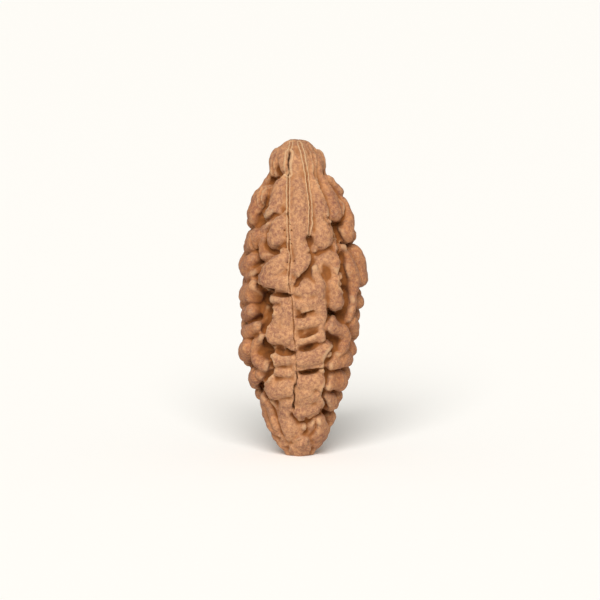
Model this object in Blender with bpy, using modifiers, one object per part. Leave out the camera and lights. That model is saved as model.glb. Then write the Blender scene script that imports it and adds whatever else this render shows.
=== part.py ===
"""A many-faced rudraksha bead: the knobbly stone of the fruit, standing on its lower end.

The bead is one grown piece, so it is one solid. A turned core is the floor of its valleys. A rib under
every seam runs from the top pole down, and lobes hang off both sides of every rib. Each lobe is a row of
long balls along the path of its crest. The lobes that face the front are placed one by one, and the ones
round the back follow a rule with a fixed seed. All of it is fused by a voxel remesh. Then valleys and
hollows are pressed in between the lobes, the flaps in front get crisp edges, the seams and slits are
pressed in, and the lower end is cut flat.

Azimuths are degrees round the bead from its front, -Y, positive towards +X. Lengths are millimetres
until they are handed to Blender, which works in metres. Marks on the front are given as they are seen
from there, looking down by 8 degrees: millimetres right of the middle and millimetres up.
"""

import math
import random

import bmesh
import bpy
import numpy as np
from mathutils import Vector, noise
from mathutils.bvhtree import BVHTree

MM = 0.001

# driving sizes
TALL = 38.0
VOXEL = 0.2
MOST_TRIANGLES = 10800
LOBE_ROOT = 3.4
LOBE_DROOP = 0.22
EDGE_REACH = 0.55
EDGE_RIM = 0.09
RELIEF_GAIN = 0.5
SEAM_HALF_WIDTH = 0.17
SEAM_DEPTH = 0.35
LIP_RISE = 0.14

# the front view, from which the marks on the front are read
VIEW_DOWN = math.radians(8.0)
LOOK = np.array((0.0, math.cos(VIEW_DOWN), -math.sin(VIEW_DOWN)))
VIEW_UP = np.array((0.0, math.sin(VIEW_DOWN), math.cos(VIEW_DOWN)))
MARK_STEP = 0.12

# how far the lobes reach out at each height, and where the bead's own axis runs
ENVELOPE = [
    (0.0, 1.5), (0.8, 2.1), (1.5, 3.0), (2.3, 3.6), (3.7, 4.1), (5.2, 4.4), (6.6, 4.9), (8.4, 5.9),
    (11.0, 6.4), (12.0, 6.9), (17.5, 7.2), (21.5, 7.5), (23.3, 7.4), (24.8, 6.9), (28.4, 6.5), (29.9, 6.0),
    (31.3, 5.3), (32.8, 4.2), (34.2, 3.4), (35.7, 3.3), (36.4, 3.0), (37.1, 2.4), (37.7, 1.6), (38.0, 0.6),
]
AXIS_X = [(0.0, -0.05), (2.0, 0.0), (12.0, -0.2), (21.0, 0.3), (28.0, 0.0), (33.0, -0.3), (38.0, -0.4)]

# the valley floors: how far under the lobes they lie at each height
VALLEY_DEPTH = [(0.0, 0.9), (3.0, 2.1), (8.0, 3.0), (13.0, 3.6), (25.0, 3.5), (31.0, 2.4), (34.0, 1.2),
                (38.0, 0.3)]

# seams: height and azimuth, from the top pole down
SEAMS = {
    "front": [(37.9, -50), (36.7, -23), (34.0, -18), (30.0, -14), (26.0, -12), (21.0, -12), (18.0, -8),
              (14.0, -4), (10.5, -1), (7.5, -7), (6.0, -8), (4.8, -2)],
    "short": [(37.9, 18), (35.0, 18), (31.5, 16), (29.0, 12), (26.0, 10), (23.7, 18)],
    "right": [(37.9, 60), (36.4, 38), (33.0, 38), (31.5, 41), (29.4, 38), (27.1, 48), (25.8, 48), (22.0, 40),
              (14.0, 36), (3.0, 36)],
    "far_right": [(37.9, 95), (30.0, 92), (15.0, 94), (3.0, 90)],
    "back_right": [(37.9, 143), (30.0, 146), (15.0, 141), (3.0, 146)],
    "back": [(37.9, 195), (30.0, 193), (15.0, 198), (3.0, 192)],
    "back_left": [(37.9, 244), (30.0, 247), (15.0, 243), (3.0, 248)],
    "left": [(37.9, 300), (35.0, 294), (30.0, 300), (24.0, 297), (15.0, 294), (3.0, 296)],
}

# how far under the lobes each rib's top lies: little in front, where the lobes are flush with the seam
RIB_SUNK = {"front": 0.35, "short": 0.45, "right": 2.3, "far_right": 1.6, "left": 2.5}
RIB_SUNK_ELSEWHERE = 0.5
RIB_RADIUS = 0.8

# lobes seen from the front, each as how far it stands past the envelope and the points of its crest:
# azimuth, height, half thickness
FRONT_LOBES = [
    # the long tongue between the front seam and the short one
    (-0.1, [(-27, 37.6, 0.5), (-4, 36.1, 0.9), (0, 33.5, 1.1), (1, 31.0, 1.2), (-1, 28.3, 1.3), (-1, 26.2, 1.4),
            (2, 24.6, 1.6)]),
    (0.0, [(2, 24.5, 1.4), (-4, 23.2, 0.9)]),
    # left side of the front seam, top to bottom
    (-0.1, [(-60, 37.3, 0.6), (-38, 36.2, 0.7), (-30, 34.6, 0.6)]),
    (-0.1, [(-64, 37.0, 0.7), (-70, 35.6, 1.0), (-76, 34.4, 1.0)]),
    (0.0, [(-24, 34.0, 0.7), (-34, 32.5, 1.1), (-31, 31.0, 1.1), (-37, 29.9, 0.8)]),
    (0.0, [(-22, 29.4, 1.0), (-27, 28.0, 1.4), (-28, 26.8, 1.5)]),
    (0.2, [(-18, 25.0, 0.9), (-25, 23.5, 1.4), (-36, 22.2, 1.5)]),
    (0.1, [(-33, 22.0, 1.4), (-18, 21.8, 1.4)]),
    (-0.4, [(-16, 19.8, 0.8), (-29, 19.7, 0.8)]),
    (-0.2, [(-14, 18.0, 1.4), (-22, 17.9, 1.3)]),
    (0.0, [(-14, 15.4, 1.5), (-28, 15.3, 1.5)]),
    (-0.1, [(-12, 12.6, 1.1), (-24, 12.5, 1.2)]),
    (-0.2, [(-12, 10.8, 0.9), (-22, 10.8, 1.0)]),
    (0.1, [(-14, 8.9, 1.5), (-33, 8.4, 1.5)]),
    (-0.1, [(-19, 7.0, 1.3), (-22, 5.8, 1.4), (-24, 3.9, 1.4), (-20, 2.6, 1.0)]),
    # the band under the pleats, flush on both sides of the front seam
    (-0.6, [(-11, 21.0, 1.3), (-10, 13.0, 1.3), (-12, 6.0, 1.2)]),
    (-0.5, [(4, 21.5, 1.4), (6, 14.0, 1.4), (5, 6.0, 1.2)]),
    (-0.5, [(14, 21.0, 1.3), (15, 14.0, 1.3), (14, 6.5, 1.2)]),
    # the pleats on its right, under the tongue, and the smooth fold that closes them
    (-0.1, [(13, 23.4, 0.7), (17, 22.0, 0.9), (17, 20.3, 0.9)]),
    (-0.1, [(-2, 20.9, 1.2), (12, 20.9, 1.2)]),
    (-0.1, [(-2, 19.1, 0.9), (15, 19.6, 0.9)]),
    (-0.1, [(0, 16.8, 1.0), (17, 17.2, 1.0)]),
    (-0.2, [(1, 14.7, 0.7), (19, 15.3, 0.7)]),
    (-0.2, [(20, 19.3, 0.8), (23, 17.2, 0.7), (22, 15.0, 0.7)]),
    (0.1, [(4, 12.5, 1.3), (17, 12.7, 1.3), (30, 13.3, 1.0)]),
    (0.1, [(5, 9.5, 1.4), (20, 9.6, 1.4)]),
    (0.0, [(7, 7.8, 1.2), (19, 7.8, 1.3)]),
    (0.1, [(4, 6.0, 1.3), (20, 6.3, 1.4)]),
    (0.05, [(8, 9.6, 1.3), (10, 7.8, 1.3), (9, 6.0, 1.3)]),
    (-0.15, [(3, 21.5, 1.2), (5, 18.6, 1.1)]),
    (-0.2, [(14, 21.0, 1.1), (16, 18.6, 1.0)]),
    (-0.15, [(-14, 18.6, 1.2), (-15, 15.0, 1.3)]),
    (-0.3, [(-22, 18.0, 1.2), (-24, 15.0, 1.3)]),
    # between the short seam and the right one
    (0.0, [(46, 36.8, 0.6), (34, 34.5, 0.7), (31, 32.0, 0.8), (29, 30.0, 1.0), (29, 28.2, 1.3),
           (27, 26.6, 1.4)]),
    (-0.6, [(18, 24.7, 1.0), (23, 24.2, 1.0)]),
    (0.0, [(28, 24.4, 1.3), (36, 24.0, 1.1)]),
    (-0.3, [(27, 26.6, 1.2), (30, 25.4, 1.1), (34, 23.8, 1.1), (34, 22.4, 1.0), (34, 21.0, 0.9),
            (38, 19.6, 0.9)]),
    (-0.1, [(34, 23.4, 0.5), (39, 22.2, 0.5)]),
    (-0.5, [(22, 20.8, 1.0), (26, 20.2, 0.9)]),
    (0.0, [(33, 21.4, 1.0), (36, 20.4, 1.2), (38, 19.3, 1.3)]),
    (0.0, [(27, 16.6, 0.8), (38, 16.2, 0.9), (50, 15.6, 1.0), (57, 14.7, 1.0), (55, 13.6, 1.0), (45, 13.0, 0.9)]),
    (-0.9, [(33, 15.2, 1.2), (44, 14.4, 1.2), (33, 13.8, 1.0)]),
    (-0.1, [(29, 11.5, 1.2), (45, 11.9, 1.3), (62, 12.0, 1.2), (76, 11.8, 1.2)]),
    (0.0, [(30, 9.2, 1.3), (45, 9.4, 1.4), (60, 9.3, 1.4), (73, 9.0, 1.3)]),
    (0.0, [(31, 7.3, 1.1), (46, 7.0, 1.2), (62, 6.5, 1.2)]),
    (0.0, [(34, 4.7, 1.1), (44, 3.4, 1.5), (60, 2.7, 1.2)]),
    (-0.4, [(14, 3.9, 1.0)]),
    # right of the right seam, out to the edge of the view
    (0.0, [(56, 36.2, 0.7), (57, 34.0, 1.0), (58, 32.2, 1.2), (54, 30.6, 1.3), (52, 29.7, 1.2)]),
    (0.45, [(72, 33.6, 0.7), (80, 32.8, 0.8), (86, 31.9, 0.9)]),
    (0.1, [(84, 30.4, 1.0), (80, 28.7, 1.5), (67, 27.1, 1.4)]),
    (0.0, [(48, 25.4, 0.9), (55, 24.0, 1.1), (58, 22.9, 1.2), (64, 21.7, 1.3), (62, 20.7, 1.1), (58, 19.8, 1.1),
           (62, 18.6, 1.1), (57, 17.2, 0.9)]),
    (0.3, [(84, 24.2, 1.2), (88, 22.7, 1.5), (84, 21.5, 1.3)]),
    (0.1, [(88, 18.5, 0.9)]),
    (0.0, [(68, 16.4, 1.1), (80, 15.7, 1.5)]),
    (0.0, [(84, 12.8, 1.1)]),
    # right of the left seam
    (0.1, [(-66, 31.7, 1.0), (-75, 30.5, 1.4), (-77, 29.4, 1.6), (-67, 28.9, 1.2)]),
    (-0.2, [(-37, 29.9, 0.7), (-42, 29.2, 0.7)]),
    (-0.2, [(-34, 28.6, 0.5), (-52, 27.6, 0.6), (-75, 26.6, 0.6)]),
    (-0.3, [(-38, 27.6, 0.9), (-47, 26.0, 1.4), (-43, 24.9, 1.2)]),
    (-1.2, [(-45, 18.6, 1.3), (-44, 16.8, 1.4), (-40, 15.0, 1.2)]),
    (-0.1, [(-42, 15.0, 0.6), (-52, 14.1, 0.8), (-55, 12.9, 1.0), (-50, 11.8, 1.1), (-41, 11.2, 1.0)]),
    (-1.0, [(-44, 13.2, 1.0)]),
    (-0.1, [(-53, 10.3, 0.9), (-43, 9.8, 1.0), (-36, 9.7, 0.8)]),
    (0.0, [(-58, 7.1, 1.1), (-74, 6.2, 1.3), (-82, 4.6, 1.3), (-70, 3.3, 1.1)]),
    (-0.1, [(-52, 6.8, 1.1), (-56, 5.2, 1.3), (-50, 3.8, 1.2)]),
    (-0.1, [(-44, 2.2, 0.9), (-34, 2.0, 0.9)]),
    # left of the left seam
    (0.0, [(-57, 27.1, 1.0), (-70, 25.9, 1.3), (-87, 25.2, 1.3)]),
    (0.0, [(-68, 23.6, 1.1), (-80, 22.6, 1.3)]),
    (-0.3, [(-40, 23.4, 0.5), (-54, 22.6, 0.6), (-72, 21.8, 0.7)]),
    (0.1, [(-56, 20.6, 1.3), (-64, 19.9, 1.6), (-78, 19.6, 1.6), (-88, 19.3, 1.3)]),
    (0.0, [(-64, 17.8, 0.9), (-78, 17.2, 1.3)]),
    (0.0, [(-52, 15.8, 0.7), (-64, 15.3, 0.9), (-78, 14.9, 1.0)]),
    (0.3, [(-70, 13.2, 1.2), (-83, 12.5, 1.5)]),
    (0.0, [(-66, 9.9, 1.0), (-83, 9.2, 1.4)]),
    # the lowest ones in front
    (0.1, [(-12, 1.6, 1.1), (12, 1.6, 1.1)]),
]

# the foot: rings of low knobs, each as how far past the envelope, height, half thickness and azimuths
FOOT_RINGS = [
    (0.3, 0.3, 1.3, (0,)),
    (0.3, 0.1, 1.0, (60, 118, 178, 238, 298)),
    (-0.6, 0.1, 1.2, (0, 120, 240)),
    (0.3, 1.0, 1.1, (-62, -30, 34, 64, 100, 140, 180, 220, 260)),
    (0.0, 1.9, 1.2, (-75, -25, 40, 70, 125, 175, 215, 255)),
]

# the rule for the side that faces away: lobes in two rows beside every seam there
BACK_SEAMS = ("far_right", "back_right", "back", "back_left")
BACK_SEED = 7

# valleys between the bands of lobes: half width, depth, line
VALLEYS = [
    (0.45, 0.7, [(-5.0, 20.0), (-4.3, 19.0), (-3.8, 17.6), (-4.0, 16.2), (-4.4, 15.0)]),
    (0.30, 0.5, [(-3.9, 13.0), (-3.6, 12.0), (-3.5, 10.8), (-4.0, 9.4), (-4.8, 8.3), (-4.6, 7.2), (-3.8, 5.6),
                 (-3.1, 4.0), (-2.5, 2.8)]),
    (0.35, 0.7, [(4.3, 27.0), (4.9, 25.6), (5.3, 23.8), (5.0, 22.4), (5.4, 20.8), (5.8, 19.4), (5.8, 18.0),
                 (5.2, 16.6)]),
    (0.30, 0.4, [(3.6, 17.2), (3.4, 16.1), (3.1, 15.0), (3.6, 13.9)]),
    (0.28, 0.4, [(4.1, 12.3), (3.4, 11.1), (3.3, 9.0), (2.8, 7.0), (3.2, 5.4)]),
]

# round hollows: right, up, radius, depth
HOLLOWS = [
    (-4.8, 28.0, 1.1, 1.0),
    (-3.9, 24.2, 0.6, 0.5),
    (-5.0, 22.4, 0.8, 0.8),
    (-4.4, 19.0, 0.9, 0.6),
    (-4.2, 17.6, 1.1, 0.5),
    (-4.1, 12.5, 0.7, 0.7),
    (1.0, 25.6, 0.5, 0.5),
    (5.3, 23.8, 0.8, 0.8),
    (5.4, 19.5, 0.8, 0.8),
    (5.3, 17.0, 0.7, 0.9),
    (4.0, 13.6, 0.7, 0.6),
    (4.6, 12.6, 0.5, 0.4),
    (3.0, 21.9, 0.5, 0.4),
    (0.7, 21.3, 0.8, 0.3),
    (-3.3, 33.2, 0.4, 0.3),
    (-2.5, 34.0, 0.5, 0.4),
    (4.6, 27.4, 0.6, 0.6),
    (1.0, 2.5, 0.4, 0.35),
    (-1.8, 24.6, 0.7, 0.25),
]

# edges of the flaps: name, depth, line. The flap lies on the left of the line, the skin beyond drops away.
FLAP_EDGES = [
    ("wing", 0.8, [(-2.6, 24.3), (-3.4, 23.5), (-4.4, 22.4), (-5.0, 21.3), (-5.0, 20.6), (-4.4, 20.1),
                   (-3.5, 19.5), (-2.4, 19.4), (-1.5, 19.3)]),
    ("tongue", 0.6, [(-0.5, 20.6), (-0.4, 20.8), (0.1, 21.6), (0.8, 22.2), (1.3, 23.1), (1.4, 23.9),
                     (1.0, 24.9), (0.9, 25.8)]),
    ("egg", 0.6, [(-2.0, 29.0), (-2.8, 28.5), (-3.4, 27.7), (-3.9, 26.3), (-3.8, 25.2), (-3.4, 24.6),
                  (-2.6, 24.4)]),
    ("shoulder fold", 0.5, [(-3.5, 32.0), (-3.6, 30.9), (-3.7, 29.6), (-4.3, 28.7), (-4.0, 28.3),
                            (-3.3, 28.9), (-2.5, 29.0), (-1.9, 28.9)]),
    ("shoulder top", 0.35, [(-2.0, 33.4), (-2.4, 33.1), (-3.4, 32.4), (-4.4, 32.0)]),
    ("left band middle", 0.7, [(-3.4, 19.2), (-3.8, 18.6), (-3.3, 18.0), (-3.1, 17.2), (-3.3, 16.2),
                               (-3.9, 15.2), (-4.1, 14.4), (-3.9, 13.5), (-3.1, 12.8), (-2.3, 12.6)]),
    ("left band low", 0.6, [(-2.7, 12.4), (-3.5, 12.0), (-3.2, 11.3), (-3.0, 10.5), (-3.1, 9.9), (-4.2, 8.6),
                            (-4.3, 8.0), (-3.8, 6.8), (-3.1, 5.7), (-2.7, 4.5)]),
    ("low centre", 0.45, [(-2.5, 3.8), (-2.1, 2.5), (-1.5, 1.2), (-1.0, 1.3), (0.2, 2.0), (0.7, 3.0),
                          (0.6, 3.8)]),
    ("right block low", 0.6, [(-0.6, 4.6), (-0.1, 4.0), (1.0, 4.2), (2.1, 4.8), (2.7, 5.4), (2.9, 6.2),
                              (2.5, 7.2), (2.6, 7.8), (3.0, 8.9), (2.9, 10.1)]),
    ("right block middle", 0.55, [(0.2, 10.2), (1.8, 10.4), (2.8, 10.6), (2.9, 11.6), (3.3, 12.3),
                                  (3.9, 13.0), (3.9, 13.5), (3.1, 13.9)]),
    ("right curl", 0.6, [(3.8, 18.6), (3.8, 17.5), (4.2, 17.1), (5.0, 17.5), (5.3, 18.4), (5.1, 19.4),
                         (4.6, 20.4), (4.7, 21.2)]),
    ("right fold low", 0.5, [(4.7, 21.0), (4.5, 21.8), (4.7, 22.6), (4.8, 23.0), (4.5, 24.0), (4.3, 25.5),
                             (4.3, 26.1), (3.7, 27.4)]),
    ("right shoulder", 0.55, [(3.3, 28.3), (3.8, 27.6), (4.7, 27.9), (5.3, 28.8), (5.4, 29.9), (4.2, 31.5),
                              (3.1, 33.1)]),
    ("right fold high", 0.35, [(3.4, 27.9), (3.3, 29.4), (2.9, 30.7), (2.3, 31.9), (2.1, 32.7)]),
    ("right fold end", 0.4, [(1.3, 24.3), (1.7, 24.2), (2.9, 24.6), (3.6, 25.0)]),
    ("beside the tongue", 0.3, [(1.5, 23.7), (2.3, 22.8), (2.5, 21.9), (2.9, 21.2)]),
    ("right foot lobe", 0.4, [(2.1, 4.0), (2.1, 3.0), (1.4, 1.8), (1.8, 1.0)]),
    ("foot lobe", 0.35, [(1.3, 0.3), (1.6, 1.1), (1.2, 1.9), (0.5, 2.2), (-0.3, 1.9), (-1.1, 1.2), (-1.4, 0.5)]),
]

# the two seams in front, the open crack at the top, and the long one low down
FRONT_SEAM = [(-1.0, 37.4), (-1.3, 36.1), (-1.4, 33.6), (-1.4, 28.7), (-1.3, 24.7), (-1.1, 23.7), (-1.3, 21.9),
              (-1.3, 20.5), (-1.1, 19.2), (-0.9, 18.0), (-0.8, 17.0), (-0.7, 14.2), (-0.6, 12.6), (-0.5, 10.8),
              (-0.3, 9.6), (-0.6, 8.4), (-0.7, 6.7), (-0.8, 5.4), (-0.6, 4.6)]
SHORT_SEAM = [(-0.1, 37.3), (0.3, 36.1), (0.5, 35.0), (0.8, 33.5), (0.9, 32.1), (1.1, 30.8), (1.2, 29.7),
              (1.2, 27.6), (1.0, 26.2)]
OPEN_CRACK = [(-1.3, 36.1), (-1.4, 35.2), (-1.5, 34.6), (-1.4, 33.6)]
LOW_CRACK = [(-0.3, 9.7), (-0.6, 8.4), (-0.7, 6.7), (-0.8, 5.6)]

# slits between the pleats: two ends, half width, depth
SLITS = [
    ((-0.3, 16.6), (1.7, 17.3), 0.22, 0.9),
    ((0.1, 14.2), (2.1, 15.0), 0.22, 0.8),
    ((0.1, 12.7), (2.1, 13.4), 0.22, 1.0),
    ((-2.9, 12.9), (-0.9, 12.5), 0.26, 1.0),
    ((0.2, 10.0), (2.1, 10.3), 0.22, 0.8),
    ((-2.4, 19.3), (-1.3, 19.2), 0.2, 0.5),
]


def at_height(table, z):
    """The value that a height-and-value table has at height z."""
    rows = sorted(table)
    return float(np.interp(z, [row[0] for row in rows], [row[1] for row in rows]))


def outward_at(azimuth, z):
    """The way the envelope faces at that azimuth and height: level round the middle, tipped at the ends."""
    a = math.radians(azimuth)
    slope = (at_height(ENVELOPE, z + 0.8) - at_height(ENVELOPE, z - 0.8)) / 1.6
    share = 1.0 if z > 33.0 or z < 3.0 else 0.25
    return Vector((math.sin(a), -math.cos(a), -slope * share)).normalized()


def on_envelope(azimuth, z, past):
    """The point at that azimuth and height, that far past the envelope."""
    a = math.radians(azimuth)
    out = at_height(ENVELOPE, z) + past
    return Vector((at_height(AXIS_X, z) + out * math.sin(a), -out * math.cos(a), z))


def crest_points(points, step=0.4):
    """Points along a crest, no further apart than the step."""
    if len(points) == 1:
        return list(points)
    line = []
    for first, second in zip(points, points[1:]):
        gap = (on_envelope(first[0], first[1], 0) - on_envelope(second[0], second[1], 0)).length
        count = max(1, math.ceil(gap / step))
        for i in range(count):
            line.append(tuple(a + (b - a) * i / count for a, b in zip(first, second)))
    return line + [points[-1]]


def ball_points(ball, azimuth, z, half, past):
    """The unit ball's points as one long ball: round at its outer end, drooping from its root."""
    ends = z > 33.0 or z < 3.0
    outward = outward_at(azimuth, z)
    across = outward.cross(Vector((0, 0, 1))).normalized()
    up = across.cross(outward)
    axis = outward if ends else outward - up * LOBE_DROOP
    root = min(LOBE_ROOT, 0.7 * at_height(ENVELOPE, z))
    along = np.where(ball[:, 1:2] > 0.0, half * ball[:, 1:2], root * ball[:, 1:2])
    centre = on_envelope(azimuth, z, past) - axis * half
    return (np.array(centre) + np.array(across) * ball[:, 0:1] * half
            + np.array(up) * ball[:, 2:3] * half + np.array(axis) * along)


def back_lobes():
    """Lobes for the side that faces away, in the same two forms as in front: long folds, then flaps."""
    draw = random.Random(BACK_SEED)
    lobes = []
    for name in BACK_SEAMS:
        for side in (-1, 1):
            if name == "far_right" and side == -1:
                continue
            seam = SEAMS[name]
            fold = [(at_height(seam, z) + side * (9 + draw.uniform(-1, 1) + (37 - z) * 0.5), z, half)
                    for z, half in ((36.6, 0.5), (34.5, 0.7), (32.5, 0.9), (30.6, 1.0))]
            lobes.append((0.0, fold))
            z = 28.6 + draw.uniform(-0.6, 0.6)
            while z > 2.0:
                half = draw.uniform(1.1, 1.6) if z > 6 else draw.uniform(0.9, 1.2)
                near = at_height(seam, z) + side * draw.uniform(5, 8)
                far = at_height(seam, z) + side * draw.uniform(12, 17)
                fall = draw.uniform(0.1, 1.1)
                lobes.append((draw.uniform(-0.25, 0.2), [(near, z, half * 0.8), (far, z - fall, half)]))
                z -= half * 1.7 + draw.uniform(0.0, 0.3)
    return lobes


def core_balls(ball):
    """Flat wide balls up the axis that make the floor of the valleys."""
    balls = []
    for z in np.arange(1.2, TALL - 0.6, 0.5):
        radius = at_height(ENVELOPE, z) - at_height(VALLEY_DEPTH, z)
        thick = min(1.2, z - 0.2, TALL - z)
        balls.append(ball * (radius, radius, thick) + (at_height(AXIS_X, z), 0.0, z))
    return balls


def rib_balls(ball):
    """Balls under every seam line."""
    balls = []
    for name, seam in SEAMS.items():
        sunk = RIB_SUNK.get(name, RIB_SUNK_ELSEWHERE)
        for z in np.arange(seam[-1][0], seam[0][0], 0.3):
            deep = sunk * min(1.0, max(0.15, (36.0 - z) / 5.0))
            half = min(RIB_RADIUS, 0.35 * at_height(ENVELOPE, z))
            balls.append(ball_points(ball, at_height(seam, z), z, half, -deep))
    return balls


def lump_mesh():
    """Every ball of the core, the ribs and the lobes in one mesh."""
    template = bmesh.new()
    bmesh.ops.create_icosphere(template, subdivisions=3, radius=1.0)
    ball = np.array([v.co for v in template.verts])
    faces = np.array([[v.index for v in f.verts] for f in template.faces])
    template.free()
    balls = core_balls(ball) + rib_balls(ball)
    for past, z, half, azimuths in FOOT_RINGS:
        balls += [ball_points(ball, azimuth, z, half, past) for azimuth in azimuths]
    for past, points in FRONT_LOBES + back_lobes():
        balls += [ball_points(ball, azimuth, z, half, past) for azimuth, z, half in crest_points(points)]
    joined = np.concatenate([faces + len(ball) * i for i in range(len(balls))])
    mesh = bpy.data.meshes.new("lumps")
    mesh.from_pydata((np.concatenate(balls) * MM).tolist(), [], joined.tolist())
    return mesh


def bake(bead, kind, **settings):
    """Applies one modifier to the bead."""
    modifier = bead.modifiers.new(kind.title(), kind)
    for name, value in settings.items():
        setattr(modifier, name, value)
    shaped = bpy.data.meshes.new_from_object(bead.evaluated_get(bpy.context.evaluated_depsgraph_get()))
    bead.modifiers.clear()
    bead.data = shaped


def keep_largest_island(mesh):
    """Removes the closed bubbles that the remesh leaves inside."""
    shape = bmesh.new()
    shape.from_mesh(mesh)
    shape.verts.ensure_lookup_table()
    seen = set()
    islands = []
    for start in shape.verts:
        if start in seen:
            continue
        seen.add(start)
        island = [start]
        for vert in island:
            for edge in vert.link_edges:
                other = edge.other_vert(vert)
                if other not in seen:
                    seen.add(other)
                    island.append(other)
        islands.append(island)
    largest = max(islands, key=len)
    spare = [v for island in islands if island is not largest for v in island]
    bmesh.ops.delete(shape, geom=spare, context="VERTS")
    shape.to_mesh(mesh)
    shape.free()


def skin_points(mesh):
    """The vertices' places in mm."""
    flat = np.empty(len(mesh.vertices) * 3)
    mesh.vertices.foreach_get("co", flat)
    return flat.reshape(-1, 3) / MM


def set_points(mesh, points):
    """Puts the vertices at those places in mm."""
    mesh.vertices.foreach_set("co", (points * MM).ravel())
    mesh.update()


def skin_edges(mesh):
    """The edges' vertex pairs."""
    flat = np.empty(len(mesh.edges) * 2, dtype=int)
    mesh.edges.foreach_get("vertices", flat)
    return flat.reshape(-1, 2)


def blurred(values, edges, rounds):
    """Values averaged with those of the neighbours, a number of times."""
    size = len(values)
    count = np.bincount(edges.ravel(), minlength=size).astype(float)
    values = np.array(values, dtype=float)
    for _ in range(rounds):
        total = np.empty_like(values)
        for c in range(values.shape[1]):
            total[:, c] = (np.bincount(edges[:, 0], values[edges[:, 1], c], minlength=size)
                           + np.bincount(edges[:, 1], values[edges[:, 0], c], minlength=size))
        values = 0.5 * values + 0.5 * total / count[:, None]
    return values


def soft_normals(mesh, rounds=12):
    """Normals of the skin as if it were smoothed."""
    flat = np.empty(len(mesh.vertices) * 3)
    mesh.vertices.foreach_get("normal", flat)
    normals = blurred(flat.reshape(-1, 3), skin_edges(mesh), rounds)
    return normals / np.linalg.norm(normals, axis=1)[:, None]


def skin_tree(mesh):
    """A search tree of the skin in mm."""
    return BVHTree.FromPolygons(skin_points(mesh).tolist(), [f.vertices[:] for f in mesh.polygons])


def seen_at(tree, right, up):
    """The skin's point there in the front view, or None."""
    start = np.array((right, 0.0, 0.0)) + VIEW_UP * up - LOOK * 40.0
    return tree.ray_cast(Vector(start), Vector(LOOK))[0]


def in_view(points):
    """Points as mm right and mm up in the front view."""
    return np.column_stack((points[:, 0], points @ VIEW_UP))


def dropped_mark(tree, mark):
    """A mark's line of points on the skin, evenly spaced in the view."""
    mark = np.array(mark)
    lengths = np.linalg.norm(np.diff(mark, axis=0), axis=1)
    along = np.concatenate(([0.0], np.cumsum(lengths)))
    places = np.arange(0.0, along[-1] + MARK_STEP / 2, MARK_STEP)
    rows = zip(np.interp(places, along, mark[:, 0]), np.interp(places, along, mark[:, 1]))
    hits = [seen_at(tree, right, up) for right, up in rows]
    return np.array([hit for hit in hits if hit is not None])


def near_mark(points, facing, path, reach):
    """The front-facing points near a path, their gaps to it, and how far left of it they are."""
    low = path.min(axis=0) - reach
    high = path.max(axis=0) + reach
    near = np.flatnonzero(facing & (points > low).all(axis=1) & (points < high).all(axis=1))
    gaps = np.linalg.norm(points[near][:, None, :] - path[None, :, :], axis=2)
    closest = gaps.argmin(axis=1)
    gap = gaps[np.arange(len(near)), closest]
    flat = in_view(path)
    way = np.gradient(flat, axis=0)
    way /= np.linalg.norm(way, axis=1)[:, None] + 1e-9
    aside = in_view(points[near]) - flat[closest]
    left = way[closest, 0] * aside[:, 1] - way[closest, 1] * aside[:, 0]
    return near, gap, left


def press_valleys(mesh):
    """Presses the valleys between the bands deeper."""
    points = skin_points(mesh)
    normals = soft_normals(mesh, 20)
    tree = skin_tree(mesh)
    facing = normals @ LOOK < 0.35
    out = np.zeros(len(points))
    for half, depth, mark in VALLEYS:
        near, gap, left = near_mark(points, facing, dropped_mark(tree, mark), 3.0 * half)
        out[near] = np.minimum(out[near], -depth * np.exp(-(gap / half) ** 2))
    set_points(mesh, points + normals * out[:, None])


def press_hollows(mesh):
    """Presses round hollows into the front."""
    points = skin_points(mesh)
    facing = soft_normals(mesh) @ LOOK < 0.25
    tree = skin_tree(mesh)
    moved = points.copy()
    for right, up, radius, depth in HOLLOWS:
        middle = seen_at(tree, right, up)
        if middle is None:
            continue
        middle = np.array(middle)
        outward = np.array((middle[0], middle[1], 0.0))
        way = LOOK - outward / np.linalg.norm(outward)
        way /= np.linalg.norm(way)
        apart = points - middle
        aside = np.linalg.norm(apart - (apart @ way)[:, None] * way, axis=1)
        share = np.exp(-(aside / radius) ** 2) * (np.abs(apart @ way) < 3.5) * facing
        moved += share[:, None] * depth * way
    set_points(mesh, moved)


def press_edges(mesh):
    """Drops the skin beyond each flap's edge and leaves a low rim on the flap."""
    points = skin_points(mesh)
    normals = soft_normals(mesh)
    tree = skin_tree(mesh)
    facing = normals @ LOOK < 0.35
    out = np.zeros(len(points))
    for name, depth, mark in FLAP_EDGES:
        near, gap, left = near_mark(points, facing, dropped_mark(tree, mark), 1.6)
        beyond = np.clip(0.5 - left / 0.24, 0.0, 1.0)
        drop = depth * np.exp(-(gap / EDGE_REACH) ** 2) * beyond
        rim = EDGE_RIM * np.exp(-((gap - 0.22) / 0.22) ** 2) * (1.0 - beyond)
        sunk = np.minimum(out[near], 0.0)
        out[near] = sunk - np.maximum(drop + sunk, 0.0) + rim
    set_points(mesh, points + normals * out[:, None])


def deepen_relief(mesh):
    """Moves each point further from where smoothing would put it."""
    points = skin_points(mesh)
    normals = soft_normals(mesh, 4)
    flat = blurred(points, skin_edges(mesh), 42)
    height = ((points - flat) * normals).sum(axis=1)
    out = RELIEF_GAIN * np.clip(height, -1.0, 0.35)
    set_points(mesh, points + normals * out[:, None])


def wrinkle(mesh):
    """Uneven swellings and small folds all over, as on any dried skin."""
    points = skin_points(mesh)
    normals = soft_normals(mesh, 3)
    out = []
    for p in points:
        place = Vector(p)
        swell = noise.noise(place * 0.55)
        fold = 0.5 - abs(noise.noise(place * 0.9 + Vector((7.0, 3.0, 1.0))))
        out.append(0.09 * swell + 0.09 * fold)
    set_points(mesh, points + normals * np.array(out)[:, None])


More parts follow.
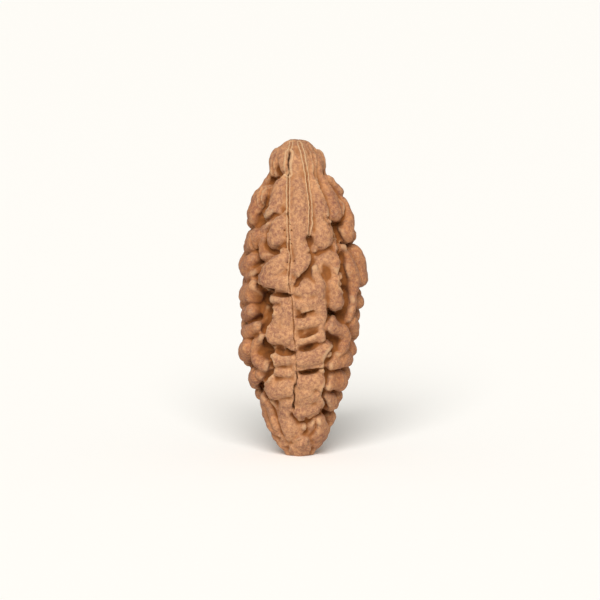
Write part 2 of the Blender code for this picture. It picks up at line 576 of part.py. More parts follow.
def seam_path_round(tree, name):
    """A seam's points on the skin, dropped inwards from outside."""
    path = []
    seam = SEAMS[name]
    for z in np.arange(seam[-1][0], seam[0][0], MARK_STEP):
        outward = outward_at(at_height(seam, z), z)
        start = on_envelope(at_height(seam, z), z, 0.0) + outward * 3.0
        hit = tree.ray_cast(start, -outward)[0]
        if hit is not None:
            path.append(hit)
    return np.array(path)


def press_seams(mesh):
    """The seams with their lips, the open crack and the slits."""
    points = skin_points(mesh)
    normals = soft_normals(mesh, 3)
    tree = skin_tree(mesh)
    everywhere = np.ones(len(points), dtype=bool)
    rows = [(dropped_mark(tree, FRONT_SEAM), SEAM_HALF_WIDTH, SEAM_DEPTH, LIP_RISE),
            (dropped_mark(tree, SHORT_SEAM), SEAM_HALF_WIDTH, SEAM_DEPTH, LIP_RISE),
            (dropped_mark(tree, OPEN_CRACK), 0.22, 0.5, 0.0),
            (dropped_mark(tree, LOW_CRACK), 0.2, 0.3, 0.0)]
    rows += [(dropped_mark(tree, [start, end]), 1.2 * half, depth, 0.0)
             for start, end, half, depth in SLITS]
    rows += [(seam_path_round(tree, name), SEAM_HALF_WIDTH, 0.2, 0.0) for name in SEAMS
             if name not in ("front", "short")]
    out = np.zeros(len(points))
    for path, half, depth, rise in rows:
        near, gap, left = near_mark(points, everywhere, path, 1.2)
        lips = rise * np.exp(-((gap - 2.0 * half) / half) ** 2)
        out[near] += lips * np.clip((points[near][:, 2] - 8.0) / 22.0, 0.0, 1.0)
        out[near] -= depth * np.exp(-(gap / half) ** 2)
    set_points(mesh, points + normals * out[:, None])


def cut_foot(mesh):
    """Cuts the lower end flat at the table."""
    shape = bmesh.new()
    shape.from_mesh(mesh)
    everything = shape.verts[:] + shape.edges[:] + shape.faces[:]
    cut = bmesh.ops.bisect_plane(shape, geom=everything, plane_co=(0, 0, 0), plane_no=(0, 0, -1),
                                 clear_outer=True)
    rim = [e for e in cut["geom_cut"] if isinstance(e, bmesh.types.BMEdge)]
    bmesh.ops.contextual_create(shape, geom=rim)
    bmesh.ops.triangulate(shape, faces=shape.faces[:])
    shape.to_mesh(mesh)
    shape.free()


def shell_material():
    """The dry woody skin: matte tan brown."""
    skin = bpy.data.materials.new("rudraksha_skin")
    skin.use_nodes = True
    shader = skin.node_tree.nodes["Principled BSDF"]
    shader.inputs["Base Color"].default_value = (0.42, 0.19, 0.09, 1.0)
    shader.inputs["Roughness"].default_value = 0.85
    shader.inputs["Metallic"].default_value = 0.0
    return skin


def rudraksha_bead():
    """The whole bead, standing on the table with its axis over the origin."""
    bead = bpy.data.objects.new("rudraksha_bead", lump_mesh())
    group = bpy.data.collections.new("rudraksha_bead")
    bpy.context.scene.collection.children.link(group)
    group.objects.link(bead)
    bake(bead, "REMESH", mode="VOXEL", voxel_size=VOXEL * MM)
    keep_largest_island(bead.data)
    bake(bead, "SMOOTH", factor=0.5, iterations=2)
    press_valleys(bead.data)
    press_hollows(bead.data)
    press_edges(bead.data)
    bake(bead, "REMESH", mode="VOXEL", voxel_size=VOXEL * MM)
    keep_largest_island(bead.data)
    bake(bead, "SMOOTH", factor=0.5, iterations=1)
    deepen_relief(bead.data)
    wrinkle(bead.data)
    press_seams(bead.data)
    triangles = sum(len(face.vertices) - 2 for face in bead.data.polygons)
    bake(bead, "DECIMATE", ratio=MOST_TRIANGLES / triangles)
    cut_foot(bead.data)
    bead.data.materials.clear()
    bead.data.materials.append(shell_material())
    return bead


def main():
    for obj in list(bpy.data.objects):
        bpy.data.objects.remove(obj)
    rudraksha_bead()


main()
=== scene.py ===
# %% [markdown]
# # A many-faced rudraksha bead
#
# The real object is the stone of a fruit: one dry, woody, knobbly piece, about as tall as two fingers
# are wide. Seams run from its top pole to its lower end, and rows of lobes hang off both sides of every
# seam, with deep valleys between the rows. The bead stands on a small flat spot.
#
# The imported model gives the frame, so it is loaded first. Everything here is in metres, but the sizes
# are written in millimetres and multiplied by MM, which is easier to read on a thing this small.

# %% Load the frame
import math
import random

import bpy
import numpy as np
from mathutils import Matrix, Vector, noise
from mathutils.bvhtree import BVHTree


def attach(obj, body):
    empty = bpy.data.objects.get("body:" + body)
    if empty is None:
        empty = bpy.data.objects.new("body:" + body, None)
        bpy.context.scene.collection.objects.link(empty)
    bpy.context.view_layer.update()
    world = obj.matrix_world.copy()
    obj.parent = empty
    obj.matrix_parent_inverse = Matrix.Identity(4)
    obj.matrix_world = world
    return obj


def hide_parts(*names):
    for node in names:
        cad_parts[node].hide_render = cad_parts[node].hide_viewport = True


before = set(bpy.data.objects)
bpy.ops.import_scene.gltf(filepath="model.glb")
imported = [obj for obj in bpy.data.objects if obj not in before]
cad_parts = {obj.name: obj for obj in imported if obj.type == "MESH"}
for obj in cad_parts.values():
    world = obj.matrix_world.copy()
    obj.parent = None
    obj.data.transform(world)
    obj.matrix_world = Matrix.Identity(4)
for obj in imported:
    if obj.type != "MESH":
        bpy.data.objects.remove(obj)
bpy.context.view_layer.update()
MM = 0.001

# %% [markdown]
# ## Camera
#
# The photograph looks almost level at the bead, from far enough away that its sides look parallel. A
# long lens at 0.6 m does the same. The frame's width in millimetres follows from the bead's height in
# the picture, and the view tips down by 8 degrees.

# %% Camera
VIEW_DOWN = math.radians(8.0)
VIEW_FROM = 0.6
VIEW_CENTRE_UP = 0.01874
PICTURE_SIDE = 600
BEAD_TALL_PX = 316.0
TALL = 38.0
HEIGHT_SHOWN = 0.9985
SENSOR = 36.0
frame_wide = PICTURE_SIDE / (BEAD_TALL_PX / (TALL * MM) / HEIGHT_SHOWN)
target = Vector((0.0, 0.0, VIEW_CENTRE_UP))


def add_camera():
    """The photograph's camera, and the scene's."""
    camera = bpy.data.objects.new("camera", bpy.data.cameras.new("camera"))
    bpy.context.scene.collection.objects.link(camera)
    back = Vector((0.0, -math.cos(VIEW_DOWN), math.sin(VIEW_DOWN)))
    camera.location = target + back * VIEW_FROM
    camera.rotation_mode = "QUATERNION"
    camera.rotation_quaternion = (-back).to_track_quat("-Z", "Y")
    camera.data.sensor_width = SENSOR
    camera.data.lens = SENSOR * VIEW_FROM / frame_wide
    camera.data.clip_start = 0.05
    bpy.context.scene.camera = camera


add_camera()
print("the frame is", round(frame_wide / MM, 1), "mm wide")

# %% [markdown]
# ## Where things are on the bead
#
# A bead like this is easiest to describe by height and azimuth, as on a globe. Azimuth 0 faces the
# camera and grows towards the right. The envelope says how far the lobes reach at each height, and the
# axis wanders a little, as it does on a grown thing.

# %% Envelope and places
ENVELOPE = [
    (0.0, 1.5), (0.8, 2.1), (1.5, 3.0), (2.3, 3.6), (3.7, 4.1), (5.2, 4.4), (6.6, 4.9), (8.4, 5.9),
    (11.0, 6.4), (12.0, 6.9), (17.5, 7.2), (21.5, 7.5), (23.3, 7.4), (24.8, 6.9), (28.4, 6.5), (29.9, 6.0),
    (31.3, 5.3), (32.8, 4.2), (34.2, 3.4), (35.7, 3.3), (36.4, 3.0), (37.1, 2.4), (37.7, 1.6), (38.0, 0.6),
]
AXIS_X = [(0.0, -0.05), (2.0, 0.0), (12.0, -0.2), (21.0, 0.3), (28.0, 0.0), (33.0, -0.3), (38.0, -0.4)]
VALLEY_DEPTH = [(0.0, 0.9), (3.0, 2.1), (8.0, 3.0), (13.0, 3.6), (25.0, 3.5), (31.0, 2.4), (34.0, 1.2),
                (38.0, 0.3)]
TOP_END = 33.0
LOW_END = 3.0
SLOPE_REACH = 0.8
SIDE_TIP = 0.25


def at_height(table, z):
    """The value that a height-and-value table has at height z."""
    rows = sorted(table)
    return float(np.interp(z, [row[0] for row in rows], [row[1] for row in rows]))


def at_an_end(z):
    """Whether a height is in the crown or in the taper above the foot."""
    return z > TOP_END or z < LOW_END


def outward_at(azimuth, z):
    """The way the envelope faces there: nearly level round the middle, tipped at the ends."""
    a = math.radians(azimuth)
    rise = at_height(ENVELOPE, z + SLOPE_REACH) - at_height(ENVELOPE, z - SLOPE_REACH)
    slope = rise / (2.0 * SLOPE_REACH)
    share = 1.0 if at_an_end(z) else SIDE_TIP
    return Vector((math.sin(a), -math.cos(a), -slope * share)).normalized()


def on_envelope(azimuth, z, past=0.0):
    """The point at that azimuth and height, that far past the envelope, in mm."""
    a = math.radians(azimuth)
    out = at_height(ENVELOPE, z) + past
    return Vector((at_height(AXIS_X, z) + out * math.sin(a), -out * math.cos(a), z))


# %% [markdown]
# ## The seams
#
# Each seam is a path from the top pole down. The front one and the short one beside it can be followed
# in the photograph point by point. The rest stand at the same spacing.

# %% Seam paths: height and azimuth
SEAMS = {
    "front": [(37.9, -50), (36.7, -23), (34.0, -18), (30.0, -14), (26.0, -12), (21.0, -12), (18.0, -8),
              (14.0, -4), (10.5, -1), (7.5, -7), (6.0, -8), (4.8, -2)],
    "short": [(37.9, 18), (35.0, 18), (31.5, 16), (29.0, 12), (26.0, 10), (23.7, 18)],
    "right": [(37.9, 60), (36.4, 38), (33.0, 38), (31.5, 41), (29.4, 38), (27.1, 48), (25.8, 48),
              (22.0, 40), (14.0, 36), (3.0, 36)],
    "far_right": [(37.9, 95), (30.0, 92), (15.0, 94), (3.0, 90)],
    "back_right": [(37.9, 143), (30.0, 146), (15.0, 141), (3.0, 146)],
    "back": [(37.9, 195), (30.0, 193), (15.0, 198), (3.0, 192)],
    "back_left": [(37.9, 244), (30.0, 247), (15.0, 243), (3.0, 248)],
    "left": [(37.9, 300), (35.0, 294), (30.0, 300), (24.0, 297), (15.0, 294), (3.0, 296)],
}
RIB_SUNK = {"front": 0.35, "short": 0.45, "right": 2.3, "far_right": 1.6, "left": 2.5}
RIB_SUNK_ELSEWHERE = 0.5
RIB_RADIUS = 0.8
print(len(SEAMS), "seams")

# %% [markdown]
# ## The lobes
#
# Each lobe hangs from its seam like a fold of thick skin. A row of numbers is easier to correct against
# the photograph than a sculpted shape: how far the lobe stands past the envelope, then the azimuth,
# height and half thickness of a few points along its crest. The lobes that the photograph shows are
# written out. Those round the back follow a rule with a fixed seed.

# %% Lobes in front: how far past the envelope, then azimuth, height and half thickness along the crest
FRONT_LOBES = [
    # the long tongue between the front seam and the short one
    (-0.1, [(-27, 37.6, 0.5), (-4, 36.1, 0.9), (0, 33.5, 1.1), (1, 31.0, 1.2), (-1, 28.3, 1.3),
            (-1, 26.2, 1.4), (2, 24.6, 1.6)]),
    (0.0, [(2, 24.5, 1.4), (-4, 23.2, 0.9)]),
    # left side of the front seam, top to bottom
    (-0.1, [(-60, 37.3, 0.6), (-38, 36.2, 0.7), (-30, 34.6, 0.6)]),
    (-0.1, [(-64, 37.0, 0.7), (-70, 35.6, 1.0), (-76, 34.4, 1.0)]),
    (0.0, [(-24, 34.0, 0.7), (-34, 32.5, 1.1), (-31, 31.0, 1.1), (-37, 29.9, 0.8)]),
    (0.0, [(-22, 29.4, 1.0), (-27, 28.0, 1.4), (-28, 26.8, 1.5)]),
    (0.2, [(-18, 25.0, 0.9), (-25, 23.5, 1.4), (-36, 22.2, 1.5)]),
    (0.1, [(-33, 22.0, 1.4), (-18, 21.8, 1.4)]),
    (-0.4, [(-16, 19.8, 0.8), (-29, 19.7, 0.8)]),
    (-0.2, [(-14, 18.0, 1.4), (-22, 17.9, 1.3)]),
    (0.0, [(-14, 15.4, 1.5), (-28, 15.3, 1.5)]),
    (-0.1, [(-12, 12.6, 1.1), (-24, 12.5, 1.2)]),
    (-0.2, [(-12, 10.8, 0.9), (-22, 10.8, 1.0)]),
    (0.1, [(-14, 8.9, 1.5), (-33, 8.4, 1.5)]),
    (-0.1, [(-19, 7.0, 1.3), (-22, 5.8, 1.4), (-24, 3.9, 1.4), (-20, 2.6, 1.0)]),
    # the band under the pleats, flush on both sides of the front seam
    (-0.6, [(-11, 21.0, 1.3), (-10, 13.0, 1.3), (-12, 6.0, 1.2)]),
    (-0.5, [(4, 21.5, 1.4), (6, 14.0, 1.4), (5, 6.0, 1.2)]),
    (-0.5, [(14, 21.0, 1.3), (15, 14.0, 1.3), (14, 6.5, 1.2)]),
    # the pleats on its right, under the tongue, and the smooth fold that closes them
    (-0.1, [(13, 23.4, 0.7), (17, 22.0, 0.9), (17, 20.3, 0.9)]),
    (-0.1, [(-2, 20.9, 1.2), (12, 20.9, 1.2)]),
    (-0.1, [(-2, 19.1, 0.9), (15, 19.6, 0.9)]),
    (-0.1, [(0, 16.8, 1.0), (17, 17.2, 1.0)]),
    (-0.2, [(1, 14.7, 0.7), (19, 15.3, 0.7)]),
    (-0.2, [(20, 19.3, 0.8), (23, 17.2, 0.7), (22, 15.0, 0.7)]),
    (0.1, [(4, 12.5, 1.3), (17, 12.7, 1.3), (30, 13.3, 1.0)]),
    (0.1, [(5, 9.5, 1.4), (20, 9.6, 1.4)]),
    (0.0, [(7, 7.8, 1.2), (19, 7.8, 1.3)]),
    (0.1, [(4, 6.0, 1.3), (20, 6.3, 1.4)]),
    (0.05, [(8, 9.6, 1.3), (10, 7.8, 1.3), (9, 6.0, 1.3)]),
    (-0.15, [(3, 21.5, 1.2), (5, 18.6, 1.1)]),
    (-0.2, [(14, 21.0, 1.1), (16, 18.6, 1.0)]),
    (-0.15, [(-14, 18.6, 1.2), (-15, 15.0, 1.3)]),
    (-0.3, [(-22, 18.0, 1.2), (-24, 15.0, 1.3)]),
    # between the short seam and the right one
    (0.0, [(46, 36.8, 0.6), (34, 34.5, 0.7), (31, 32.0, 0.8), (29, 30.0, 1.0), (29, 28.2, 1.3),
           (27, 26.6, 1.4)]),
    (-0.6, [(18, 24.7, 1.0), (23, 24.2, 1.0)]),
    (0.0, [(28, 24.4, 1.3), (36, 24.0, 1.1)]),
    (-0.3, [(27, 26.6, 1.2), (30, 25.4, 1.1), (34, 23.8, 1.1), (34, 22.4, 1.0), (34, 21.0, 0.9),
            (38, 19.6, 0.9)]),
    (-0.1, [(34, 23.4, 0.5), (39, 22.2, 0.5)]),
    (-0.5, [(22, 20.8, 1.0), (26, 20.2, 0.9)]),
    (-0.5, [(24, 23.2, 1.0), (25, 21.8, 1.1), (24, 20.6, 1.0)]),
    (0.0, [(33, 21.4, 1.0), (36, 20.4, 1.2), (38, 19.3, 1.3)]),
    (0.0, [(29, 16.4, 1.0), (38, 16.2, 1.1), (50, 15.6, 1.1), (57, 14.7, 1.0), (55, 13.6, 1.0),
           (45, 13.0, 0.9)]),
    (-0.9, [(33, 15.2, 1.2), (44, 14.4, 1.2), (33, 13.8, 1.0)]),
    (-0.1, [(29, 11.5, 1.2), (45, 11.9, 1.3), (62, 12.0, 1.2), (76, 11.8, 1.2)]),
    (0.0, [(30, 9.2, 1.3), (45, 9.4, 1.4), (60, 9.3, 1.4), (73, 9.0, 1.3)]),
    (0.0, [(31, 7.3, 1.1), (46, 7.0, 1.2), (62, 6.5, 1.2)]),
    (0.0, [(34, 4.7, 1.1), (44, 3.4, 1.5), (60, 2.7, 1.2)]),
    (-0.4, [(14, 3.9, 1.0)]),
    # right of the right seam, out to the edge of the view
    (0.0, [(56, 36.2, 0.7), (57, 34.0, 1.0), (58, 32.2, 1.2), (54, 30.6, 1.3), (52, 29.7, 1.2)]),
    (0.45, [(72, 33.6, 0.7), (80, 32.8, 0.8), (86, 31.9, 0.9)]),
    (0.1, [(84, 30.4, 1.0), (80, 28.7, 1.5), (67, 27.1, 1.4)]),
    (0.0, [(48, 25.4, 0.9), (55, 24.0, 1.1), (58, 22.9, 1.2), (64, 21.7, 1.3), (62, 20.7, 1.1),
           (58, 19.8, 1.1), (62, 18.6, 1.1), (57, 17.2, 0.9)]),
    (0.3, [(84, 24.2, 1.2), (88, 22.7, 1.5), (84, 21.5, 1.3)]),
    (0.1, [(88, 18.5, 0.9)]),
    (0.0, [(68, 16.4, 1.1), (80, 15.7, 1.5)]),
    (0.0, [(84, 12.8, 1.1)]),
    # right of the left seam
    (0.1, [(-66, 31.7, 1.0), (-75, 30.5, 1.4), (-77, 29.4, 1.6), (-67, 28.9, 1.2)]),
    (-0.2, [(-37, 29.9, 0.7), (-42, 29.2, 0.7)]),
    (-0.2, [(-34, 28.6, 0.5), (-52, 27.6, 0.6), (-75, 26.6, 0.6)]),
    (-0.3, [(-38, 27.6, 0.9), (-47, 26.0, 1.4), (-43, 24.9, 1.2)]),
    (-1.2, [(-45, 18.6, 1.3), (-44, 16.8, 1.4), (-40, 15.0, 1.2)]),
    (-0.1, [(-42, 15.0, 0.6), (-52, 14.1, 0.8), (-55, 12.9, 1.0), (-50, 11.8, 1.1), (-41, 11.2, 1.0)]),
    (-1.0, [(-44, 13.2, 1.0)]),
    (-0.1, [(-53, 10.3, 0.9), (-43, 9.8, 1.0), (-36, 9.7, 0.8)]),
    (0.0, [(-58, 7.1, 1.1), (-74, 6.2, 1.3), (-82, 4.6, 1.3), (-70, 3.3, 1.1)]),
    (-0.1, [(-52, 6.8, 1.1), (-56, 5.2, 1.3), (-50, 3.8, 1.2)]),
    (-0.25, [(-63, 6.4, 1.2), (-65, 4.9, 1.3), (-60, 3.4, 1.1)]),
    (-0.1, [(-44, 2.2, 0.9), (-34, 2.0, 0.9)]),
    # left of the left seam
    (0.0, [(-57, 27.1, 1.0), (-70, 25.9, 1.3), (-87, 25.2, 1.3)]),
    (0.0, [(-68, 23.6, 1.1), (-80, 22.6, 1.3)]),
    (-0.3, [(-40, 23.4, 0.5), (-54, 22.6, 0.6), (-72, 21.8, 0.7)]),
    (0.1, [(-56, 20.6, 1.3), (-64, 19.9, 1.6), (-78, 19.6, 1.6), (-88, 19.3, 1.3)]),
    (0.0, [(-64, 17.8, 0.9), (-78, 17.2, 1.3)]),
    (0.0, [(-52, 15.8, 0.7), (-64, 15.3, 0.9), (-78, 14.9, 1.0)]),
    (0.3, [(-70, 13.2, 1.2), (-83, 12.5, 1.5)]),
    (0.0, [(-66, 9.9, 1.0), (-83, 9.2, 1.4)]),
    # the lowest ones in front
    (0.1, [(-12, 1.6, 1.1), (12, 1.6, 1.1)]),
    (0.25, [(0, 0.3, 1.3), (0, 1.6, 1.2)]),
]

# %% Lobes round the back, by a rule with a fixed seed
BACK_SEAMS = ("far_right", "back_right", "back", "back_left")
BACK_SEED = 7
BACK_FOLDS = ((36.6, 0.5), (34.5, 0.7), (32.5, 0.9), (30.6, 1.0))
BACK_FOLD_AWAY = 9
BACK_FOLD_TOP = 37
BACK_FLAPS_FROM = 28.6
BACK_FLAPS_TO = 2.0
BACK_FLAPS_SMALL = 6
FOOT_RINGS = [
    # how far past the envelope, height, half thickness, azimuths
    (0.3, 0.3, 1.3, (0,)),
    (0.3, 0.1, 1.0, (60, 118, 178, 238, 298)),
    (0.2, 0.6, 1.0, (32, 60, 90, 118, 148, 178, 208, 238, 268, 298, 328)),
    (-0.6, 0.1, 1.2, (0, 120, 240)),
    (0.3, 1.0, 1.1, (-62, -30, 34, 64, 100, 140, 180, 220, 260)),
    (0.0, 1.9, 1.2, (-75, -25, 40, 70, 125, 175, 215, 255)),
]


def back_fold(draw, seam, side):
    """A long fold beside the top of a seam, which spreads as it goes down."""
    points = []
    for z, half in BACK_FOLDS:
        away = BACK_FOLD_AWAY + draw.uniform(-1, 1) + (BACK_FOLD_TOP - z) * 0.5
        points.append((at_height(seam, z) + side * away, z, half))
    return 0.0, points


def back_flap(draw, seam, side, z):
    """A flap that hangs out from a seam, and its half thickness."""
    half = draw.uniform(1.1, 1.6) if z > BACK_FLAPS_SMALL else draw.uniform(0.9, 1.2)
    near = at_height(seam, z) + side * draw.uniform(5, 8)
    far = at_height(seam, z) + side * draw.uniform(12, 17)
    fall = draw.uniform(0.1, 1.1)
    past = draw.uniform(-0.25, 0.2)
    return half, (past, [(near, z, half * 0.8), (far, z - fall, half)])


def back_lobes():
    """A long fold at the top of each seam, then flaps down both its sides."""
    draw = random.Random(BACK_SEED)
    lobes = []
    for name in BACK_SEAMS:
        for side in (-1, 1):
            if name == "far_right" and side == -1:
                continue
            lobes.append(back_fold(draw, SEAMS[name], side))
            z = BACK_FLAPS_FROM + draw.uniform(-0.6, 0.6)
            while z > BACK_FLAPS_TO:
                half, flap = back_flap(draw, SEAMS[name], side, z)
                lobes.append(flap)
                z -= half * 1.7 + draw.uniform(0.0, 0.3)
    return lobes


print(len(FRONT_LOBES), "lobes in front,", len(back_lobes()), "round the back")

# %% [markdown]
# ## One ball, copied along every crest
#
# A lobe is a row of balls along its crest, each drawn out into a root that reaches down to the valley
# floor. One ball is modelled, and every other is a copy of its points, stretched and turned. Metaballs
# would fuse by themselves, but they bulge where they meet.

# %% The ball that every lobe is built of
LOBE_ROOT = 3.4
LOBE_ROOT_MOST = 0.7
LOBE_DROOP = 0.22
CREST_STEP = 0.22
RIB_STEP = 0.3
RIB_FADE_FROM = 36.0
RIB_FADE_OVER = 5.0
CORE_HALF = 1.2
CORE_STEP = 0.5


def unit_ball():
    """A ball of radius 1, as points and triangles."""
    bpy.ops.object.select_all(action="DESELECT")
    bpy.ops.mesh.primitive_ico_sphere_add(subdivisions=3, radius=1.0)
    ball = bpy.context.object
    points = np.array([v.co for v in ball.data.vertices])
    faces = np.array([f.vertices[:] for f in ball.data.polygons])
    bpy.data.objects.remove(ball)
    return points, faces


ball, ball_faces = unit_ball()
print("one ball has", len(ball_faces), "triangles")


# %% Place the balls
def lobe_ball(azimuth, z, half, past):
    """The ball's points, round at the outer end, with a long root that rises inwards."""
    outward = outward_at(azimuth, z)
    across = outward.cross(Vector((0, 0, 1))).normalized()
    up = across.cross(outward)
    axis = outward if at_an_end(z) else outward - up * LOBE_DROOP
    root = min(LOBE_ROOT, LOBE_ROOT_MOST * at_height(ENVELOPE, z))
    along = np.where(ball[:, 1:2] > 0.0, half * ball[:, 1:2], root * ball[:, 1:2])
    centre = on_envelope(azimuth, z, past) - axis * half
    return (np.array(centre) + np.array(across) * ball[:, 0:1] * half
            + np.array(up) * ball[:, 2:3] * half + np.array(axis) * along)


def crest_points(points):
    """Points along a crest, no further apart than the step."""
    line = []
    for first, second in zip(points, points[1:]):
        gap = (on_envelope(first[0], first[1]) - on_envelope(second[0], second[1])).length
        count = max(1, math.ceil(gap / CREST_STEP))
        for i in range(count):
            line.append(tuple(a + (b - a) * i / count for a, b in zip(first, second)))
    return line + [points[-1]]


def core_balls():
    """Flat wide balls up the axis that make the floor of the valleys."""
    balls = []
    for z in np.arange(CORE_HALF, TALL - 0.6, CORE_STEP):
        radius = at_height(ENVELOPE, z) - at_height(VALLEY_DEPTH, z)
        thick = min(CORE_HALF, z - 0.2, TALL - z)
        balls.append(ball * (radius, radius, thick) + (at_height(AXIS_X, z), 0.0, z))
    return balls


def rib_balls():
    """Balls under every seam line."""
    balls = []
    for name, seam in SEAMS.items():
        sunk = RIB_SUNK.get(name, RIB_SUNK_ELSEWHERE)
        for z in np.arange(seam[-1][0], seam[0][0], RIB_STEP):
            deep = sunk * min(1.0, max(0.15, (RIB_FADE_FROM - z) / RIB_FADE_OVER))
            half = min(RIB_RADIUS, 0.35 * at_height(ENVELOPE, z))
            balls.append(lobe_ball(at_height(seam, z), z, half, -deep))
    return balls


def lumps():
    """Every ball of the core, the ribs and the lobes as one object."""
    balls = core_balls() + rib_balls()
    for past, z, half, azimuths in FOOT_RINGS:
        balls += [lobe_ball(azimuth, z, half, past) for azimuth in azimuths]
    for past, points in FRONT_LOBES + back_lobes():
        balls += [lobe_ball(azimuth, z, half, past) for azimuth, z, half in crest_points(points)]
    faces = np.concatenate([ball_faces + len(ball) * i for i in range(len(balls))])
    mesh = bpy.data.meshes.new("bead_skin")
    mesh.from_pydata((np.concatenate(balls) * MM).tolist(), [], faces.tolist())
    heap = bpy.data.objects.new("bead_skin", mesh)
    bpy.context.scene.collection.objects.link(heap)
    print(len(balls), "balls")
    return heap


bead = lumps()

# %% [markdown]
# ## Fuse the balls into one skin
#
# Boolean unions of thousands of balls would be slow. A voxel remesh keeps only the outer skin and makes
# every face about the same size, so that the skin can be pressed and pulled afterwards like clay. It
# also leaves closed bubbles inside, which are deleted.

# %% Fuse
VOXEL = 0.17


def select_only(obj):
    """Selects one object and makes it active."""
    bpy.ops.object.select_all(action="DESELECT")
    bpy.context.view_layer.objects.active = obj
    obj.select_set(True)


def set_mode(kind):
    """Goes to edit mode or back to object mode."""
    bpy.ops.object.mode_set(mode=kind)


def apply_modifier(obj, kind, **settings):
    """Adds a modifier and applies it."""
    select_only(obj)
    modifier = obj.modifiers.new(kind.title(), kind)
    for name, value in settings.items():
        setattr(modifier, name, value)
    bpy.ops.object.modifier_apply(modifier=modifier.name)


def keep_outer_skin(obj):
    """Splits the loose parts off and keeps the largest."""
    select_only(obj)
    bpy.ops.mesh.separate(type="LOOSE")
    parts = list(bpy.context.selected_objects)
    largest = max(parts, key=lambda part: len(part.data.vertices))
    for part in parts:
        if part is not largest:
            bpy.data.objects.remove(part)
    largest.name = "bead_skin"
    return largest


apply_modifier(bead, "REMESH", mode="VOXEL", voxel_size=VOXEL * MM)
bead = keep_outer_skin(bead)
apply_modifier(bead, "SMOOTH", factor=0.5, iterations=2)
print("fused skin:", len(bead.data.polygons), "faces")

# %% [markdown]
# ## Press the forms in, as into clay
#
# Each flap of the real bead has a crisp edge, and the skin drops away beyond it into a dark valley. A
# sculpting brush would be the usual way. Here the strokes are written down, so that each run gives the
# same bead: so many mm right of the middle and so many mm up in the front view. Each stroke is dropped
# onto the skin along the view, and the skin near it is pressed.

# %% Read and move the skin's points
def rows_of(items, name, width, kind=float):
    """One property of all the items, a row for each."""
    flat = np.empty(len(items) * width, dtype=kind)
    items.foreach_get(name, flat)
    return flat.reshape(-1, width)


def skin_points(mesh):
    """The vertices' places in mm."""
    return rows_of(mesh.vertices, "co", 3) / MM


def skin_normals(mesh):
    """The vertices' normals."""
    return rows_of(mesh.vertices, "normal", 3)


def skin_edges(mesh):
    """The edges' vertex pairs."""
    return rows_of(mesh.edges, "vertices", 2, int)


def set_points(mesh, points):
    """Puts the vertices at those places in mm."""
    mesh.vertices.foreach_set("co", (points * MM).ravel())
    mesh.update()


def blurred(values, edges, rounds):
    """Values averaged with those of the neighbours, a number of times."""
    values = np.array(values, dtype=float)
    size = len(values)
    count = np.bincount(edges.ravel(), minlength=size).astype(float)
    columns = values.reshape(size, -1)
    for _ in range(rounds):
        total = np.empty_like(columns)
        for c in range(columns.shape[1]):
            total[:, c] = (np.bincount(edges[:, 0], columns[edges[:, 1], c], minlength=size)
                           + np.bincount(edges[:, 1], columns[edges[:, 0], c], minlength=size))
        columns = 0.5 * columns + 0.5 * total / count[:, None]
    return columns.reshape(values.shape)


def soft_normals(mesh, rounds=12):
    """Normals of the skin as if it were smoothed."""
    normals = blurred(skin_normals(mesh), skin_edges(mesh), rounds)
    return normals / np.linalg.norm(normals, axis=1)[:, None]


def skin_tree(mesh):
    """A search tree of the skin in mm."""
    return BVHTree.FromPolygons(skin_points(mesh).tolist(), [f.vertices[:] for f in mesh.polygons])


# %% Where the front view's marks lie on the skin
LOOK = np.array((0.0, math.cos(VIEW_DOWN), -math.sin(VIEW_DOWN)))
VIEW_UP = np.array((0.0, math.sin(VIEW_DOWN), math.cos(VIEW_DOWN)))
MARK_STEP = 0.12


def seen_at(tree, right, up):
    """The skin's point there in the front view, or None."""
    start = np.array((right, 0.0, 0.0)) + VIEW_UP * up - LOOK * 40.0
    return tree.ray_cast(Vector(start), Vector(LOOK))[0]


def in_view(points):
    """Points as mm right and mm up in the front view."""
    return np.column_stack((points[:, 0], points @ VIEW_UP))


def dropped_mark(tree, mark):
    """A mark's line of points on the skin, evenly spaced in the view."""
    mark = np.array(mark)
    lengths = np.linalg.norm(np.diff(mark, axis=0), axis=1)
    along = np.concatenate(([0.0], np.cumsum(lengths)))
    places = np.arange(0.0, along[-1] + MARK_STEP / 2, MARK_STEP)
    rows = zip(np.interp(places, along, mark[:, 0]), np.interp(places, along, mark[:, 1]))
    hits = [seen_at(tree, right, up) for right, up in rows]
    return np.array([hit for hit in hits if hit is not None])


def near_mark(points, path, reach, facing=True):
    """The facing points near a path, their gaps to it, and on which side they are."""
    low = path.min(axis=0) - reach
    high = path.max(axis=0) + reach
    near = np.flatnonzero(facing & (points > low).all(axis=1) & (points < high).all(axis=1))
    gaps = np.linalg.norm(points[near][:, None, :] - path[None, :, :], axis=2)
    closest = gaps.argmin(axis=1)
    gap = gaps[np.arange(len(near)), closest]
    flat = in_view(path)
    way = np.gradient(flat, axis=0)
    way /= np.linalg.norm(way, axis=1)[:, None] + 1e-9
    aside = in_view(points[near]) - flat[closest]
    left = way[closest, 0] * aside[:, 1] - way[closest, 1] * aside[:, 0]
    return near, gap, left


